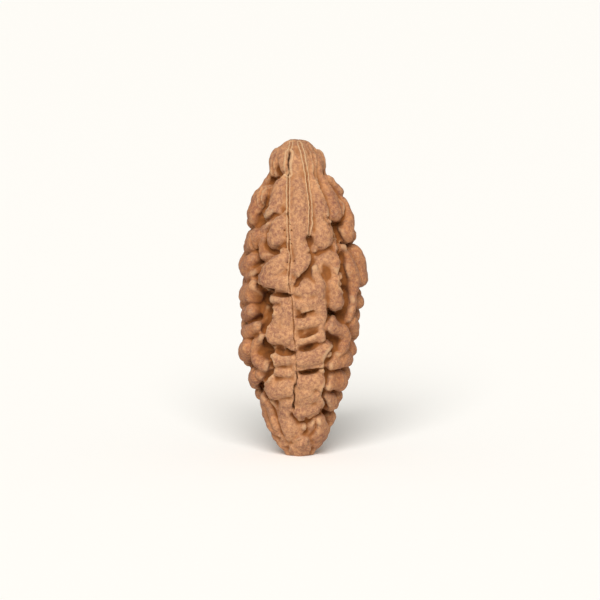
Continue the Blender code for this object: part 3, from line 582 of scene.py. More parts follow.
# %% Flap edges: the flap lies on the left of the line, the skin beyond it is pressed in
FLAP_EDGES = [
    # name, depth, the line in mm right and mm up
    ("wing", 0.8, [(-2.6, 24.3), (-3.4, 23.5), (-4.4, 22.4), (-5.0, 21.3), (-5.0, 20.6), (-4.4, 20.1),
        (-3.5, 19.5), (-2.4, 19.4), (-1.5, 19.3)]),
    ("tongue", 0.6, [(-0.5, 20.6), (-0.4, 20.8), (0.1, 21.6), (0.8, 22.2), (1.3, 23.1), (1.4, 23.9),
        (1.0, 24.9), (0.9, 25.8)]),
    ("egg", 0.6, [(-2.0, 29.0), (-2.8, 28.5), (-3.4, 27.7), (-3.9, 26.3), (-3.8, 25.2), (-3.4, 24.6),
        (-2.6, 24.4)]),
    ("shoulder fold", 0.5, [(-3.5, 32.0), (-3.6, 30.9), (-3.7, 29.6), (-4.3, 28.7), (-4.0, 28.3),
        (-3.3, 28.9), (-2.5, 29.0), (-1.9, 28.9)]),
    ("shoulder top", 0.35, [(-2.0, 33.4), (-2.4, 33.1), (-3.4, 32.4), (-4.4, 32.0)]),
    ("left band middle", 0.7, [(-3.4, 19.2), (-3.8, 18.6), (-3.3, 18.0), (-3.1, 17.2), (-3.3, 16.2),
        (-3.9, 15.2), (-4.1, 14.4), (-3.9, 13.5), (-3.1, 12.8), (-2.3, 12.6), (-1.0, 12.55)]),
    ("left band low", 0.6, [(-2.7, 12.4), (-3.5, 12.0), (-3.2, 11.3), (-3.0, 10.5), (-3.1, 9.9),
        (-4.2, 8.6), (-4.3, 8.0), (-3.8, 6.8), (-3.1, 5.7), (-2.7, 4.5)]),
    ("low centre", 0.6, [(-2.5, 3.8), (-2.1, 2.5), (-1.5, 1.2), (-1.0, 1.3), (0.2, 2.0), (0.7, 3.0),
        (0.6, 3.8)]),
    ("right block low", 0.6, [(-0.6, 4.6), (-0.1, 4.0), (1.0, 4.2), (2.1, 4.8), (2.7, 5.4), (2.9, 6.2),
        (2.5, 7.2), (2.6, 7.8), (3.0, 8.9), (2.9, 10.1)]),
    ("right block middle", 0.55, [(0.2, 10.2), (1.8, 10.4), (2.8, 10.6), (2.9, 11.6), (3.3, 12.3),
        (3.9, 13.0), (3.9, 13.5), (3.1, 13.9)]),
    ("right curl", 0.6, [(3.7, 17.2), (4.2, 17.1), (5.0, 17.5), (5.3, 18.4), (5.1, 19.4), (4.6, 20.4),
        (4.7, 21.2)]),
    ("right fold low", 0.5, [(4.7, 21.0), (4.5, 21.8), (4.7, 22.6), (4.8, 23.0), (4.5, 24.0), (4.3, 25.5),
        (4.3, 26.1), (3.7, 27.4)]),
    ("right shoulder", 0.55, [(3.3, 28.3), (3.8, 27.6), (4.7, 27.9), (5.3, 28.8), (5.4, 29.9), (4.2, 31.5),
        (3.1, 33.1)]),
    ("right fold high", 0.35, [(3.4, 27.9), (3.3, 29.4), (2.9, 30.7), (2.3, 31.9), (2.1, 32.7)]),
    ("right fold end", 0.4, [(1.3, 24.3), (1.7, 24.2), (2.9, 24.6), (3.6, 25.0)]),
    ("beside the tongue", 0.15, [(1.5, 23.7), (2.3, 22.8), (2.5, 21.9), (2.9, 21.2)]),
    ("left lobe low", 0.35, [(-3.7, 2.9), (-3.0, 2.2), (-2.3, 2.0)]),
    ("right foot lobe", 0.55, [(2.1, 4.0), (2.1, 3.0), (1.4, 1.8), (1.8, 1.0)]),
    ("foot lobe", 0.55, [(1.3, 0.3), (1.6, 1.1), (1.2, 1.9), (0.5, 2.2), (-0.3, 1.9), (-1.1, 1.2),
        (-1.4, 0.5)]),
]

# %% Hollows: mm right, mm up, radius, depth
HOLLOWS = [
    (-4.8, 28.0, 1.1, 1.0),
    (-4.3, 24.7, 0.9, 0.4),
    (-5.0, 22.4, 0.8, 0.8),
    (-5.0, 19.0, 1.2, 0.9),
    (-4.2, 17.6, 1.1, 0.5),
    (-4.4, 12.4, 1.0, 0.8),
    (-4.2, 9.5, 0.7, 0.4),
    (-5.4, 14.6, 0.9, 0.4),
    (4.4, 9.2, 0.9, 0.35),
    (1.0, 25.6, 0.5, 0.5),
    (5.3, 23.8, 0.9, 0.55),
    (5.4, 19.5, 0.8, 0.8),
    (4.9, 16.5, 0.9, 0.9),
    (4.0, 13.6, 0.7, 0.6),
    (4.6, 12.6, 0.5, 0.4),
    (3.1, 21.7, 0.7, 0.3),
    (0.7, 21.3, 0.8, 0.3),
    (-3.3, 33.2, 0.4, 0.3),
    (-2.5, 34.0, 0.5, 0.4),
    (4.6, 27.4, 0.6, 0.6),
    (-1.8, 24.6, 0.7, 0.25),
]

# %% Valleys: half width, depth, the line in mm right and mm up
VALLEYS = [
    (0.45, 0.7, [(-5.0, 20.0), (-4.3, 19.0), (-3.8, 17.6), (-4.0, 16.2), (-4.4, 15.0)]),
    (0.30, 0.4, [(-3.9, 13.0), (-3.6, 12.0), (-3.5, 10.8), (-4.0, 9.4), (-4.8, 8.3), (-4.3, 7.2)]),
    (0.40, 0.45, [(4.3, 27.0), (4.9, 25.6), (5.3, 23.8), (5.0, 22.4), (5.4, 20.8), (5.8, 19.4), (5.8, 18.0),
        (5.2, 16.6)]),
    (0.30, 0.4, [(3.6, 17.2), (3.4, 16.1), (3.1, 15.0), (3.6, 13.9)]),
    (0.28, 0.4, [(4.1, 12.3), (3.4, 11.1), (3.3, 9.0), (2.8, 7.0), (3.2, 5.4)]),
]
print(len(FLAP_EDGES), "edges,", len(HOLLOWS), "hollows,", len(VALLEYS), "valleys")

# %% Press them
IN_FRONT = 0.35
HOLLOW_IN_FRONT = 0.25
HOLLOW_REACH = 3.5
EDGE_LOOK = 1.6
EDGE_SOFT = 0.24
EDGE_REACH = 0.55
EDGE_RIM = 0.09
RIM_AT = 0.22


def press_valleys(mesh):
    """Presses the valleys between the bands deeper."""
    points = skin_points(mesh)
    normals = soft_normals(mesh, 20)
    tree = skin_tree(mesh)
    facing = normals @ LOOK < IN_FRONT
    out = np.zeros(len(points))
    for half, depth, mark in VALLEYS:
        near, gap, _ = near_mark(points, dropped_mark(tree, mark), 3.0 * half, facing)
        out[near] = np.minimum(out[near], -depth * np.exp(-(gap / half) ** 2))
    set_points(mesh, points + normals * out[:, None])


def press_hollows(mesh):
    """Presses round hollows into the front."""
    points = skin_points(mesh)
    normals = soft_normals(mesh)
    tree = skin_tree(mesh)
    facing = normals @ LOOK < HOLLOW_IN_FRONT
    moved = points.copy()
    for right, up, radius, depth in HOLLOWS:
        middle = seen_at(tree, right, up)
        if middle is None:
            continue
        middle = np.array(middle)
        outward = np.array((middle[0], middle[1], 0.0))
        way = LOOK - outward / np.linalg.norm(outward)
        way /= np.linalg.norm(way)
        apart = points - middle
        aside = np.linalg.norm(apart - (apart @ way)[:, None] * way, axis=1)
        share = np.exp(-(aside / radius) ** 2) * (np.abs(apart @ way) < HOLLOW_REACH) * facing
        moved += share[:, None] * depth * way
    set_points(mesh, moved)


def press_edges(mesh):
    """Drops the skin beyond each flap's edge and leaves a low rim on the flap."""
    points = skin_points(mesh)
    normals = soft_normals(mesh)
    tree = skin_tree(mesh)
    facing = normals @ LOOK < IN_FRONT
    out = np.zeros(len(points))
    for _, depth, mark in FLAP_EDGES:
        path = dropped_mark(tree, mark)
        near, gap, left = near_mark(points, path, EDGE_LOOK, facing)
        beyond = np.clip(0.5 - left / EDGE_SOFT, 0.0, 1.0)
        drop = depth * np.exp(-(gap / EDGE_REACH) ** 2) * beyond
        rim = EDGE_RIM * np.exp(-((gap - RIM_AT) / RIM_AT) ** 2) * (1.0 - beyond)
        out[near] = np.minimum(out[near], 0.0) - np.maximum(drop + np.minimum(out[near], 0.0), 0.0) + rim
    set_points(mesh, points + normals * out[:, None])
    return out


press_valleys(bead.data)
press_hollows(bead.data)
pressed = press_edges(bead.data)
print("deepest press", round(float(-pressed.min()), 2), "mm")

# %% [markdown]
# Round the back the lobes stand in rows that are too straight, so a slow noise moves them along the
# skin, by nothing at the sides and the foot and by up to a millimetre at the back.

# %% Let the rows round the back wander
BACK_DRIFT = 1.1
DRIFT_SEED = 5
DRIFT_BUMPS = 0.24
SWELL_SHARE = 0.25
SWELL_BUMPS = 0.4


def back_share(points):
    """0 in front and at the foot, 1 round the back."""
    return np.clip((points[:, 1] + 1.0) / 4.0, 0.0, 1.0) * np.clip((points[:, 2] - 2.0) / 4.0, 0.0, 1.0)


def shift_rows(mesh):
    """Lets the rows of lobes round the back wander a little, as the ones in front do."""
    points = skin_points(mesh)
    normals = soft_normals(mesh, 30)
    noise.seed_set(DRIFT_SEED)
    share = back_share(points)
    for i in np.flatnonzero(share):
        place = Vector(points[i])
        drift = noise.noise_vector(place * DRIFT_BUMPS)
        outward = Vector(normals[i])
        drift -= outward * (drift.dot(outward) - SWELL_SHARE * noise.noise(place * SWELL_BUMPS))
        points[i] += share[i] * BACK_DRIFT * np.array(drift)
    set_points(mesh, points)


shift_rows(bead.data)

# %% [markdown]
# Pressing has stretched some faces, so the skin is remeshed, a little finer. Then what stands out goes
# further out and what lies low goes lower, and noise adds swellings and small folds.

# %% Even the faces out again
FINE_VOXEL = 0.155
apply_modifier(bead, "REMESH", mode="VOXEL", voxel_size=FINE_VOXEL * MM)
bead = keep_outer_skin(bead)
apply_modifier(bead, "SMOOTH", factor=0.5, iterations=1)
print("evened skin:", len(bead.data.polygons), "faces")

# %% Deepen the relief: how many rounds of smoothing show it, how much of it is added, and its limits
RELIEF = (70, 0.5, -1.0, 0.35)
EDGES = (10, 0.85, -0.12, 0.08)
LOW_FADE = (0.5, 5.0, 0.3)


def low_fade(points):
    """The lobes at the lower end are smoother than the others."""
    start, over, least = LOW_FADE
    return np.clip((points[:, 2] - start) / over, least, 1.0)


def deepen_relief(mesh):
    """Moves each point further from where smoothing would put it."""
    points = skin_points(mesh)
    normals = soft_normals(mesh, 4)
    out = np.zeros(len(points))
    for rounds, gain, lowest, highest in (RELIEF, EDGES):
        height = ((points - blurred(points, skin_edges(mesh), rounds)) * normals).sum(axis=1)
        out += gain * np.clip(height, lowest, highest)
    out *= low_fade(points)
    set_points(mesh, points + normals * out[:, None])


deepen_relief(bead.data)

# %% Wrinkles: height in mm and bumps a mm
SWELL = (0.09, 0.55)
FOLD = (0.09, 0.9)
SMALL = (0.035, 2.3)
CREASE = (0.045, 1.7)
FOLD_PLACE = Vector((7.0, 3.0, 1.0))
CREASE_PLACE = Vector((2.0, 9.0, 4.0))


def wrinkle(mesh):
    """Uneven swellings and small folds all over, as on any dried skin."""
    points = skin_points(mesh)
    normals = soft_normals(mesh, 3)
    out = []
    for p in points:
        place = Vector(p)
        swell = noise.noise(place * SWELL[1])
        fold = 0.5 - abs(noise.noise(place * FOLD[1] + FOLD_PLACE))
        small = noise.noise(place * SMALL[1])
        crease = 0.3 - abs(noise.noise(place * CREASE[1] + CREASE_PLACE))
        out.append(SWELL[0] * swell + FOLD[0] * fold + SMALL[0] * small + CREASE[0] * crease)
    set_points(mesh, points + normals * (np.array(out) * low_fade(points))[:, None])


wrinkle(bead.data)

# %% [markdown]
# ## Seams, cracks and pits
#
# A seam is a fine groove between two pale raised lips. The two in front follow the photograph. The rest
# lie at the bottom of the valleys, where only a shallow line shows. A bump texture would draw the lines
# without depth, so the skin itself is pressed, and gets smaller faces beside the seams for that.

# %% Seam lines in the front view
FRONT_SEAM = [(-1.0, 37.4), (-1.3, 36.1), (-1.4, 33.6), (-1.4, 28.7), (-1.3, 24.7), (-1.1, 23.7),
              (-1.3, 21.9), (-1.3, 20.5), (-1.1, 19.2), (-0.9, 18.0), (-0.8, 17.0), (-0.7, 14.2),
              (-0.6, 12.6), (-0.5, 10.8), (-0.3, 9.6), (-0.6, 8.4), (-0.7, 6.7), (-0.8, 5.4), (-0.6, 4.6)]
SHORT_SEAM = [(-0.1, 37.3), (0.3, 36.1), (0.5, 35.0), (0.8, 33.5), (0.9, 32.1), (1.1, 30.8), (1.2, 29.7),
              (1.2, 27.6), (1.0, 26.2)]
THIRD_SEAM = [(0.9, 36.4), (1.3, 35.4)]
OPEN_CRACK = [(-1.3, 36.1), (-1.4, 35.2), (-1.5, 34.6), (-1.4, 33.6)]
LOW_CRACK = [(-0.3, 9.7), (-0.6, 8.4), (-0.7, 6.7), (-0.8, 5.6)]
SLITS = [
    # start, end, half width, depth
    ((-0.4, 16.55), (1.8, 17.25), 0.16, 0.85),
    ((0.0, 14.15), (2.1, 14.95), 0.16, 0.8),
    ((0.0, 12.65), (2.1, 13.35), 0.21, 0.9),
    ((-3.0, 12.75), (-0.8, 12.4), 0.28, 0.9),
    ((0.1, 9.95), (2.1, 10.25), 0.16, 0.8),
    ((-2.4, 19.3), (-1.3, 19.2), 0.2, 0.5),
]
PITS = [
    # mm right, mm up, radius
    (-1.82, 26.8, 0.09), (-1.16, 27.5, 0.07), (-1.02, 26.8, 0.09), (-1.62, 26.05, 0.07),
    (-1.22, 25.7, 0.10), (-1.05, 25.2, 0.07), (-1.66, 24.8, 0.08), (-1.5, 24.1, 0.07),
    (-0.5, 25.7, 0.06), (-0.75, 23.2, 0.12), (-1.45, 23.0, 0.07), (-1.55, 22.1, 0.07),
    (-0.6, 37.5, 0.14), (0.7, 37.3, 0.12),
]
REFINED_BAND = 0.6


# %% Drop the seams onto the skin, and make its faces smaller beside them
def refine_beside(obj, paths, band):
    """Subdivides the faces within the band of the paths."""
    points = skin_points(obj.data)
    near = np.zeros(len(points), dtype=bool)
    for path in paths:
        index, gap, _ = near_mark(points, path, band + 0.3)
        near[index[gap < band]] = True
    set_mode("EDIT")
    bpy.ops.mesh.select_mode(type="VERT")
    bpy.ops.mesh.select_all(action="DESELECT")
    set_mode("OBJECT")
    obj.data.vertices.foreach_set("select", near)
    set_mode("EDIT")
    bpy.ops.mesh.subdivide(number_cuts=1)
    set_mode("OBJECT")


tree = skin_tree(bead.data)
front_path = dropped_mark(tree, FRONT_SEAM)
short_path = dropped_mark(tree, SHORT_SEAM)
third_path = dropped_mark(tree, THIRD_SEAM)
crack_path = dropped_mark(tree, OPEN_CRACK)
low_path = dropped_mark(tree, LOW_CRACK)
refine_beside(bead, [front_path, short_path, third_path], REFINED_BAND)
print("after refining:", len(bead.data.polygons), "faces")

# %% Press the seams in front
SEAM_ROWS = [
    # path, half width, depth, rise of the lips, how dark (the seam's dark line with painted shade in its
    # groove), how pale the lips are
    (front_path, 0.080, 0.24, 0.12, 0.75, 1.0),
    (short_path, 0.09, 0.2, 0.17, 0.6, 1.0),
    (third_path, 0.09, 0.12, 0.04, 0.6, 0.3),
    (crack_path, 0.19, 0.75, 0.09, 1.0, 0.8),
    (low_path, 0.12, 0.35, 0.0, 0.9, 0.3),
]
SEAM_LOOK = 1.2
SEAM_RAGGED = 0.065
RAGGED_BUMPS = 2.0
LIP_AT = 2.3
LIP_HALF = 0.9
SLIT_LOOK = 1.6
SLIT_SHADOW = 0.8
PIT_DEPTH = 0.3
LIP_FADE = (8.0, 22.0, 0.25)


def ragged(points):
    """A small unevenness, so that a seam isn't ruled straight."""
    return np.array([noise.noise(Vector(p) * RAGGED_BUMPS) for p in points])


def seam_depths(points, path, half, depth, rise):
    """How far a seam moves each point out, and how much it is crack or lip."""
    near, gap, left = near_mark(points, path, SEAM_LOOK)
    gap = np.abs(np.where(left > 0.0, gap, -gap) + SEAM_RAGGED * ragged(points[near]))
    groove = np.zeros(len(points))
    ridge = np.zeros(len(points))
    groove[near] = np.exp(-(gap / half) ** 2)
    ridge[near] = np.exp(-((gap - LIP_AT * half) / (LIP_HALF * half)) ** 2)
    return rise * ridge - depth * groove, groove, ridge


def slit_press(points, path, half, depth):
    """A slit that is deepest in its middle and narrows to its ends."""
    near, gap, left = near_mark(points, path, SLIT_LOOK)
    closest = np.linalg.norm(points[near][:, None, :] - path[None, :, :], axis=2).argmin(axis=1)
    share = np.sin(np.pi * (closest + 0.5) / len(path)) ** 0.6
    wide = half * (0.6 + 0.5 * share) * np.where(left > 0.0, 0.8, 1.5)
    out = np.zeros(len(points))
    out[near] = -depth * share * np.exp(-(gap / wide) ** 2)
    return out


def lip_fade(points):
    """Lips are high near the top pole and low further down."""
    start, over, least = LIP_FADE
    return np.clip((points[:, 2] - start) / over, least, 1.0)


def press_seams(mesh):
    """The seams, the open crack, the slits and the pits, with the seams' dark line and painted shade in the
    grooves, the slits and the pits.
    """
    points = skin_points(mesh)
    normals = soft_normals(mesh, 3)
    out = np.zeros(len(points))
    crack = np.zeros(len(points))
    lip = np.zeros(len(points))
    for path, half, depth, rise, dark, pale in SEAM_ROWS:
        push, groove, ridge = seam_depths(points, path, half, depth, rise)
        out += np.where(push > 0.0, push * lip_fade(points), push)
        crack = np.maximum(crack, dark * groove)
        lip = np.maximum(lip, pale * ridge * lip_fade(points))
    for start, end, half, depth in SLITS:
        slit = slit_press(points, dropped_mark(tree, [start, end]), half, depth)
        out += slit
        # painted shadow in the slit
        crack = np.maximum(crack, np.clip(-slit / depth, 0.0, 1.0) ** 2 * SLIT_SHADOW)
    for right, up, radius in PITS:
        place = seen_at(tree, right, up)
        gap = np.linalg.norm(points - np.array(place), axis=1)
        hole = np.exp(-(gap / radius) ** 2)
        out -= PIT_DEPTH * hole
        # painted shade in the pit
        crack = np.maximum(crack, hole)
    set_points(mesh, points + normals * out[:, None])
    return crack, lip


crack, lip = press_seams(bead.data)
print("dark in the seams:", int((crack > 0.5).sum()), "points, pale lips:", int((lip > 0.5).sum()))

# %% Shallow lines for the seams at the sides and back
SIDE_SEAM_ENDS = {"left": 25.0, "right": 24.0, "far_right": 22.0}
SIDE_SEAM_END_ELSEWHERE = 8.0
SIDE_SEAM = (0.13, 0.22, 0.07)
SIDE_SHARE = 0.6


def seam_path_round(name):
    """A seam's points on the skin, dropped inwards from outside."""
    path = []
    lowest = SIDE_SEAM_ENDS.get(name, SIDE_SEAM_END_ELSEWHERE)
    for z in np.arange(lowest, SEAMS[name][0][0], 0.12):
        outward = outward_at(at_height(SEAMS[name], z), z)
        start = on_envelope(at_height(SEAMS[name], z), z) + outward * 3.0
        hit = tree.ray_cast(start, -outward)[0]
        if hit is not None:
            path.append(hit)
    return np.array(path)


def press_side_seams(mesh, crack, lip):
    """Fine grooves down to where the lobes close over them."""
    points = skin_points(mesh)
    normals = soft_normals(mesh, 3)
    out = np.zeros(len(points))
    for name in SEAMS:
        if name in ("front", "short"):
            continue
        push, groove, ridge = seam_depths(points, seam_path_round(name), *SIDE_SEAM)
        out += push
        # a faint dark line with painted shade in the groove
        crack = np.maximum(crack, SIDE_SHARE * groove)
        lip = np.maximum(lip, SIDE_SHARE * ridge * lip_fade(points))
    set_points(mesh, points + normals * out[:, None])
    return crack, lip


crack, lip = press_side_seams(bead.data, crack, lip)

# %% [markdown]
# ## Foot and weight of the mesh
#
# One cut at the table's height makes the flat spot that the bead stands on. How dark the seams are, with
# the painted shade in the grooves, slits and pits, and how pale their lips are, is then stored on the
# points, because thinning the mesh carries such values along.

# %% Cut the foot flat, and thin the mesh
MOST_TRIANGLES = 196000


def cut_foot(obj):
    """Cuts the lower end flat at the table."""
    set_mode("EDIT")
    bpy.ops.mesh.select_all(action="SELECT")
    bpy.ops.mesh.bisect(plane_co=(0, 0, 0), plane_no=(0, 0, -1), clear_outer=True, use_fill=True)
    set_mode("OBJECT")
    flat = skin_points(obj.data)
    flat = flat[flat[:, 2] < 0.01]
    print("foot from", flat.min(axis=0).round(2), "to", flat.max(axis=0).round(2))


def store(mesh, name, values):
    """Keeps a value per vertex for the material."""
    layer = mesh.attributes.new(name, "FLOAT", "POINT")
    layer.data.foreach_set("value", np.array(values, dtype=np.float32))


def triangles_in(mesh):
    """How many triangles the mesh makes."""
    return sum(len(f.vertices) - 2 for f in mesh.polygons)


# the seams' dark line and the painted shade in the grooves, the slits and the pits
store(bead.data, "crack", crack)
store(bead.data, "lip", lip)
cut_foot(bead)
print("before thinning:", triangles_in(bead.data), "triangles")
if triangles_in(bead.data) > MOST_TRIANGLES:
    apply_modifier(bead, "DECIMATE", ratio=MOST_TRIANGLES / triangles_in(bead.data))
set_points(bead.data, np.maximum(skin_points(bead.data), (-np.inf, -np.inf, 0.0)))
bpy.ops.object.shade_smooth()
print("skin:", triangles_in(bead.data), "triangles")

# %% [markdown]
# ## Where the colours lie
#
# Thin rims get a painted highlight, and hollows and low skin get painted shade over their darker
# orange-brown. To find them, each point is compared with where smoothing
# would put it: few rounds show the rims, many show the hollows.

# %% Rims, hollows and sides, for the colour
RIM_ROUNDS = 8
HOLLOW_ROUNDS = 90
RIM_FROM = 86
RIM_TO = 99.3
HOLLOW_FULL = 0.35
SHADE_FULL = 0.5
SHADE_WIDE = 1.2
SPREAD = [2, 25, 50, 75, 98]
mesh = bead.data
edges = skin_edges(mesh)
points = skin_points(mesh)
normals = skin_normals(mesh)
fine = ((points - blurred(points, edges, RIM_ROUNDS)) * normals).sum(axis=1)
coarse = ((points - blurred(points, edges, HOLLOW_ROUNDS)) * normals).sum(axis=1)
axis_x = np.interp(points[:, 2], *zip(*AXIS_X))
reach = np.interp(points[:, 2], *zip(*ENVELOPE))
sunk = reach - np.hypot(points[:, 0] - axis_x, points[:, 1])
azimuths = np.degrees(np.arctan2(points[:, 0] - axis_x, -points[:, 1]))
for name, values in (("fine", fine), ("coarse", coarse), ("sunk", sunk)):
    print(name, np.percentile(values, SPREAD).round(3))


def painted_hollow_shade(mesh):
    """How near each point is to the middle of a hollow in front, as painted shade there."""
    points = skin_points(mesh)
    tree = skin_tree(mesh)
    shade = np.zeros(len(points))
    for right, up, radius, depth in HOLLOWS:
        gap = np.linalg.norm(points - np.array(seen_at(tree, right, up)), axis=1)
        dark = min(1.0, depth / SHADE_FULL)
        shade = np.maximum(shade, dark * np.exp(-(gap / (SHADE_WIDE * radius)) ** 2))
    return shade


def ramp(values, start, over):
    """0 up to the start, then up to 1 over that much more."""
    return np.clip((values - start) / over, 0, 1)


rim_from, rim_to = np.percentile(fine, [RIM_FROM, RIM_TO])
# painted shade round the listed hollows in front
store(mesh, "shade", painted_hollow_shade(mesh))
# painted shade: the skin darkens towards the sides as seen from the front, where the light falls off
store(mesh, "aside", ramp(np.abs(azimuths + 2.0), 22.0, 34.0) * ramp(reach, 0.0, 6.0))
# painted highlight along thin convex rims
store(mesh, "rim", ramp(fine, rim_from, rim_to - rim_from))
# the hollows: a darker orange-brown with painted shade in it, and mauve speckles thickest on the crests
store(mesh, "hollow", np.clip(-coarse / HOLLOW_FULL, -1, 1))
# painted shade with the orange-brown, on skin that lies below the envelope
store(mesh, "sunk", ramp(sunk, 0.4, 1.2) * ramp(points[:, 2], 1.0, 4.0))

# %% [markdown]
# ## The skin's finish
#
# Dry and matte: tan, with painted shade that turns it russet towards the sides, with mauve-brown speckles
# that are thickest on the crests, orange-brown with painted shade in the hollows, the seams' dark line with
# painted shade in the grooves, the open crack, the slits and the pits, pale on the lips of the seams, and a
# painted highlight along thin rims. The patterns are noise, because an image would show only one side.

# %% Shader maths
class Net:
    """A material's node tree."""

    def __init__(self, material):
        self.tree = material.node_tree

    def add(self, kind, settings=None, inputs=None):
        """Adds a node. Settings are set first, then the sockets' values or links."""
        node = self.tree.nodes.new(kind)
        for name, value in (settings or {}).items():
            setattr(node, name, value)
        for name, value in (inputs or {}).items():
            self.feed(node.inputs[name], value)
        return node

    def feed(self, socket, value):
        """Links a socket or sets its value."""
        if isinstance(value, Wire):
            self.tree.links.new(value.socket, socket)
        else:
            socket.default_value = value

    def out(self, node, name=0):
        """A node's output as a wire."""
        return Wire(self, node.outputs[name])


class Wire:
    """A node's output, with arithmetic."""

    def __init__(self, net, socket):
        self.net = net
        self.socket = socket

    def maths(self, operation, first, second):
        """One maths node."""
        node = self.net.add("ShaderNodeMath", {"operation": operation}, {0: first, 1: second})
        return self.net.out(node)

    def __add__(self, other):
        return self.maths("ADD", self, other)

    __radd__ = __add__

    def __mul__(self, other):
        return self.maths("MULTIPLY", self, other)

    __rmul__ = __mul__

    def __sub__(self, other):
        return self.maths("SUBTRACT", self, other)

    def __rsub__(self, other):
        return self.maths("SUBTRACT", other, self)

    def clamp(self):
        """Kept between 0 and 1."""
        return self.maths("MAXIMUM", self.maths("MINIMUM", self, 1.0), 0.0)


def blend_colour(net, share, first, second):
    """A colour between two, by a share."""
    node = net.add("ShaderNodeMix", {"data_type": "RGBA"}, {"Factor": share})
    net.feed(node.inputs[6], first)
    net.feed(node.inputs[7], second)
    return Wire(net, node.outputs[2])


# %% Colours and patterns, with the patterns in bumps a metre
TAN = (0.550, 0.283, 0.134, 1.0)
# painted shade: the tan as it looks in shade at the sides
SHADED_SIDE_TAN = (0.460, 0.178, 0.058, 1.0)
MAUVE = (0.165, 0.060, 0.044, 1.0)
# ORANGE is the hollows' own orange-brown, darkened further as painted shade
ORANGE = (0.225, 0.072, 0.012, 1.0)
# DARK is the seams' dark line and the painted shade in the grooves, the open crack, the slits and the pits
DARK = (0.10, 0.035, 0.008, 1.0)
# PALE is the pale grains and lips, and the painted highlight on thin rims
PALE = (0.60, 0.41, 0.23, 1.0)
SPECKLE = 2400.0
GRAINS = 6200.0
PATCHES = 320.0
GRAIN = 8000.0
MASKS = ("crack", "lip", "rim", "hollow", "sunk", "shade", "aside")


def noise_at(net, where, scale, detail=2.0, roughness=0.5):
    """A noise of that many bumps a metre."""
    node = net.add("ShaderNodeTexNoise", None,
                   {"Vector": where, "Scale": scale, "Detail": detail, "Roughness": roughness})
    return net.out(node, "Fac")


def step(net, value, low, high):
    """0 under low, 1 over high, smooth between."""
    node = net.add("ShaderNodeMapRange", {"interpolation_type": "SMOOTHSTEP"},
                   {"Value": value, "From Min": low, "From Max": high})
    return net.out(node)


# %% The skin's material, layer over layer
def speckled(net, where, speckle, masks):
    """Tan skin, with painted shade that turns it russet towards the sides, its mauve speckles and its fine
    pale grains.
    """
    grains = step(net, noise_at(net, where, GRAINS), 0.55, 0.68)
    patches = step(net, noise_at(net, where, PATCHES), 0.34, 0.68)
    crest = step(net, masks["hollow"], 0.3, -0.5)
    mauve_share = (speckle * 0.66 + patches * 0.22) * (0.65 + crest * 0.35)
    # painted shade: tan in front, shaded to russet towards the sides
    base = blend_colour(net, masks["aside"] * 0.65, TAN, SHADED_SIDE_TAN)
    dusty = blend_colour(net, mauve_share.clamp(), base, MAUVE)
    return blend_colour(net, grains * 0.26, dusty, PALE)


def shade_highlight_and_marks(net, mottled, masks):
    """That skin with painted shade over the orange-brown of its hollows, a painted highlight on thin rims,
    pale lips, and the seams' dark line with painted shade in the grooves, slits and pits.
    """
    # painted shade over the orange-brown in the hollows, the low skin and the listed hollows
    dip = step(net, masks["hollow"], -0.25, 0.6)
    deep = (dip * 0.75 + masks["sunk"] * 0.9 + masks["shade"] * (0.35 + dip * 0.65)).clamp()
    hollowed = blend_colour(net, deep * 0.92, mottled, ORANGE)
    # painted highlight on thin rims
    rimmed = blend_colour(net, masks["rim"] * 0.36, hollowed, PALE)
    lipped = blend_colour(net, step(net, masks["lip"], 0.35, 1.0) * 0.75, rimmed, PALE)
    # the seams' dark line, and painted shade in the grooves, the open crack, the slits and the pits
    return blend_colour(net, step(net, masks["crack"], 0.25, 0.85) * 0.92, lipped, DARK)


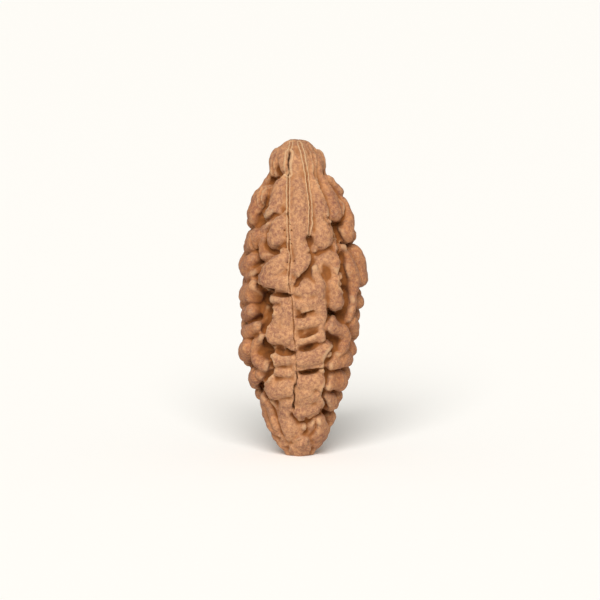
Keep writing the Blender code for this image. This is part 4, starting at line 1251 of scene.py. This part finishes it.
def skin_material():
    """The dry fuzzy skin."""
    material = bpy.data.materials.new("rudraksha_skin")
    material.use_nodes = True
    net = Net(material)
    shader = material.node_tree.nodes["Principled BSDF"]
    where = net.out(net.add("ShaderNodeTexCoord"), "Object")
    masks = {name: net.out(net.add("ShaderNodeAttribute", {"attribute_name": name}), "Fac")
             for name in MASKS}
    speckle = step(net, noise_at(net, where, SPECKLE, 6.0, 0.72), 0.34, 0.66)
    grain = noise_at(net, where, GRAIN)
    colour = shade_highlight_and_marks(net, speckled(net, where, speckle, masks), masks)
    net.feed(shader.inputs["Base Color"], colour)
    net.feed(shader.inputs["Roughness"], 0.78 + grain * 0.2)
    bump = net.add("ShaderNodeBump", None, {"Height": grain * 0.5 + speckle * 0.3, "Strength": 0.8,
                                            "Distance": 0.0001})
    net.feed(shader.inputs["Normal"], net.out(bump))
    shader.inputs["Specular IOR Level"].default_value = 0.2
    shader.inputs["Sheen Weight"].default_value = 0.04
    shader.inputs["Sheen Roughness"].default_value = 0.5
    return material


bead.data.materials.clear()
bead.data.materials.append(skin_material())
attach(bead, "root")
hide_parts("rudraksha_bead")

# %% [markdown]
# ## Floor and light
#
# The photograph's light comes from above and in front, and its shadows are soft. One wide sun and a
# pale warm world that fills the valleys do the same over a pale matte floor.

# %% Floor and light
FLOOR_PALE = (0.97, 0.97, 0.955, 1.0)
WORLD_WARM = (1.0, 0.965, 0.90, 1.0)
SUN_WARM = (1.0, 0.985, 0.965)


def add_floor():
    """A wide pale floor."""
    bpy.ops.mesh.primitive_plane_add(size=6.0, location=(0.0, 0.0, 0.0))
    floor = bpy.context.object
    floor.name = "floor"
    material = bpy.data.materials.new("floor_white")
    material.use_nodes = True
    shader = material.node_tree.nodes["Principled BSDF"]
    shader.inputs["Base Color"].default_value = FLOOR_PALE
    shader.inputs["Roughness"].default_value = 0.9
    floor.data.materials.append(material)


def add_world(strength):
    """A pale surround."""
    world = bpy.data.worlds.new("surround")
    bpy.context.scene.world = world
    world.use_nodes = True
    background = world.node_tree.nodes["Background"]
    background.inputs["Color"].default_value = WORLD_WARM
    background.inputs["Strength"].default_value = strength


def add_sun(name, way, strength, softness):
    """A far light that comes from that way, as soft as that many degrees."""
    lamp = bpy.data.lights.new(name, "SUN")
    lamp.energy = strength
    lamp.angle = math.radians(softness)
    lamp.color = SUN_WARM
    holder = bpy.data.objects.new(name, lamp)
    bpy.context.scene.collection.objects.link(holder)
    holder.rotation_mode = "QUATERNION"
    holder.rotation_quaternion = Vector(way).to_track_quat("Z", "Y")


bpy.context.scene.view_settings.view_transform = "Standard"
add_floor()
add_sun("key", (-0.05, -0.82, 0.62), 3.65, 36.0)
add_world(0.36)
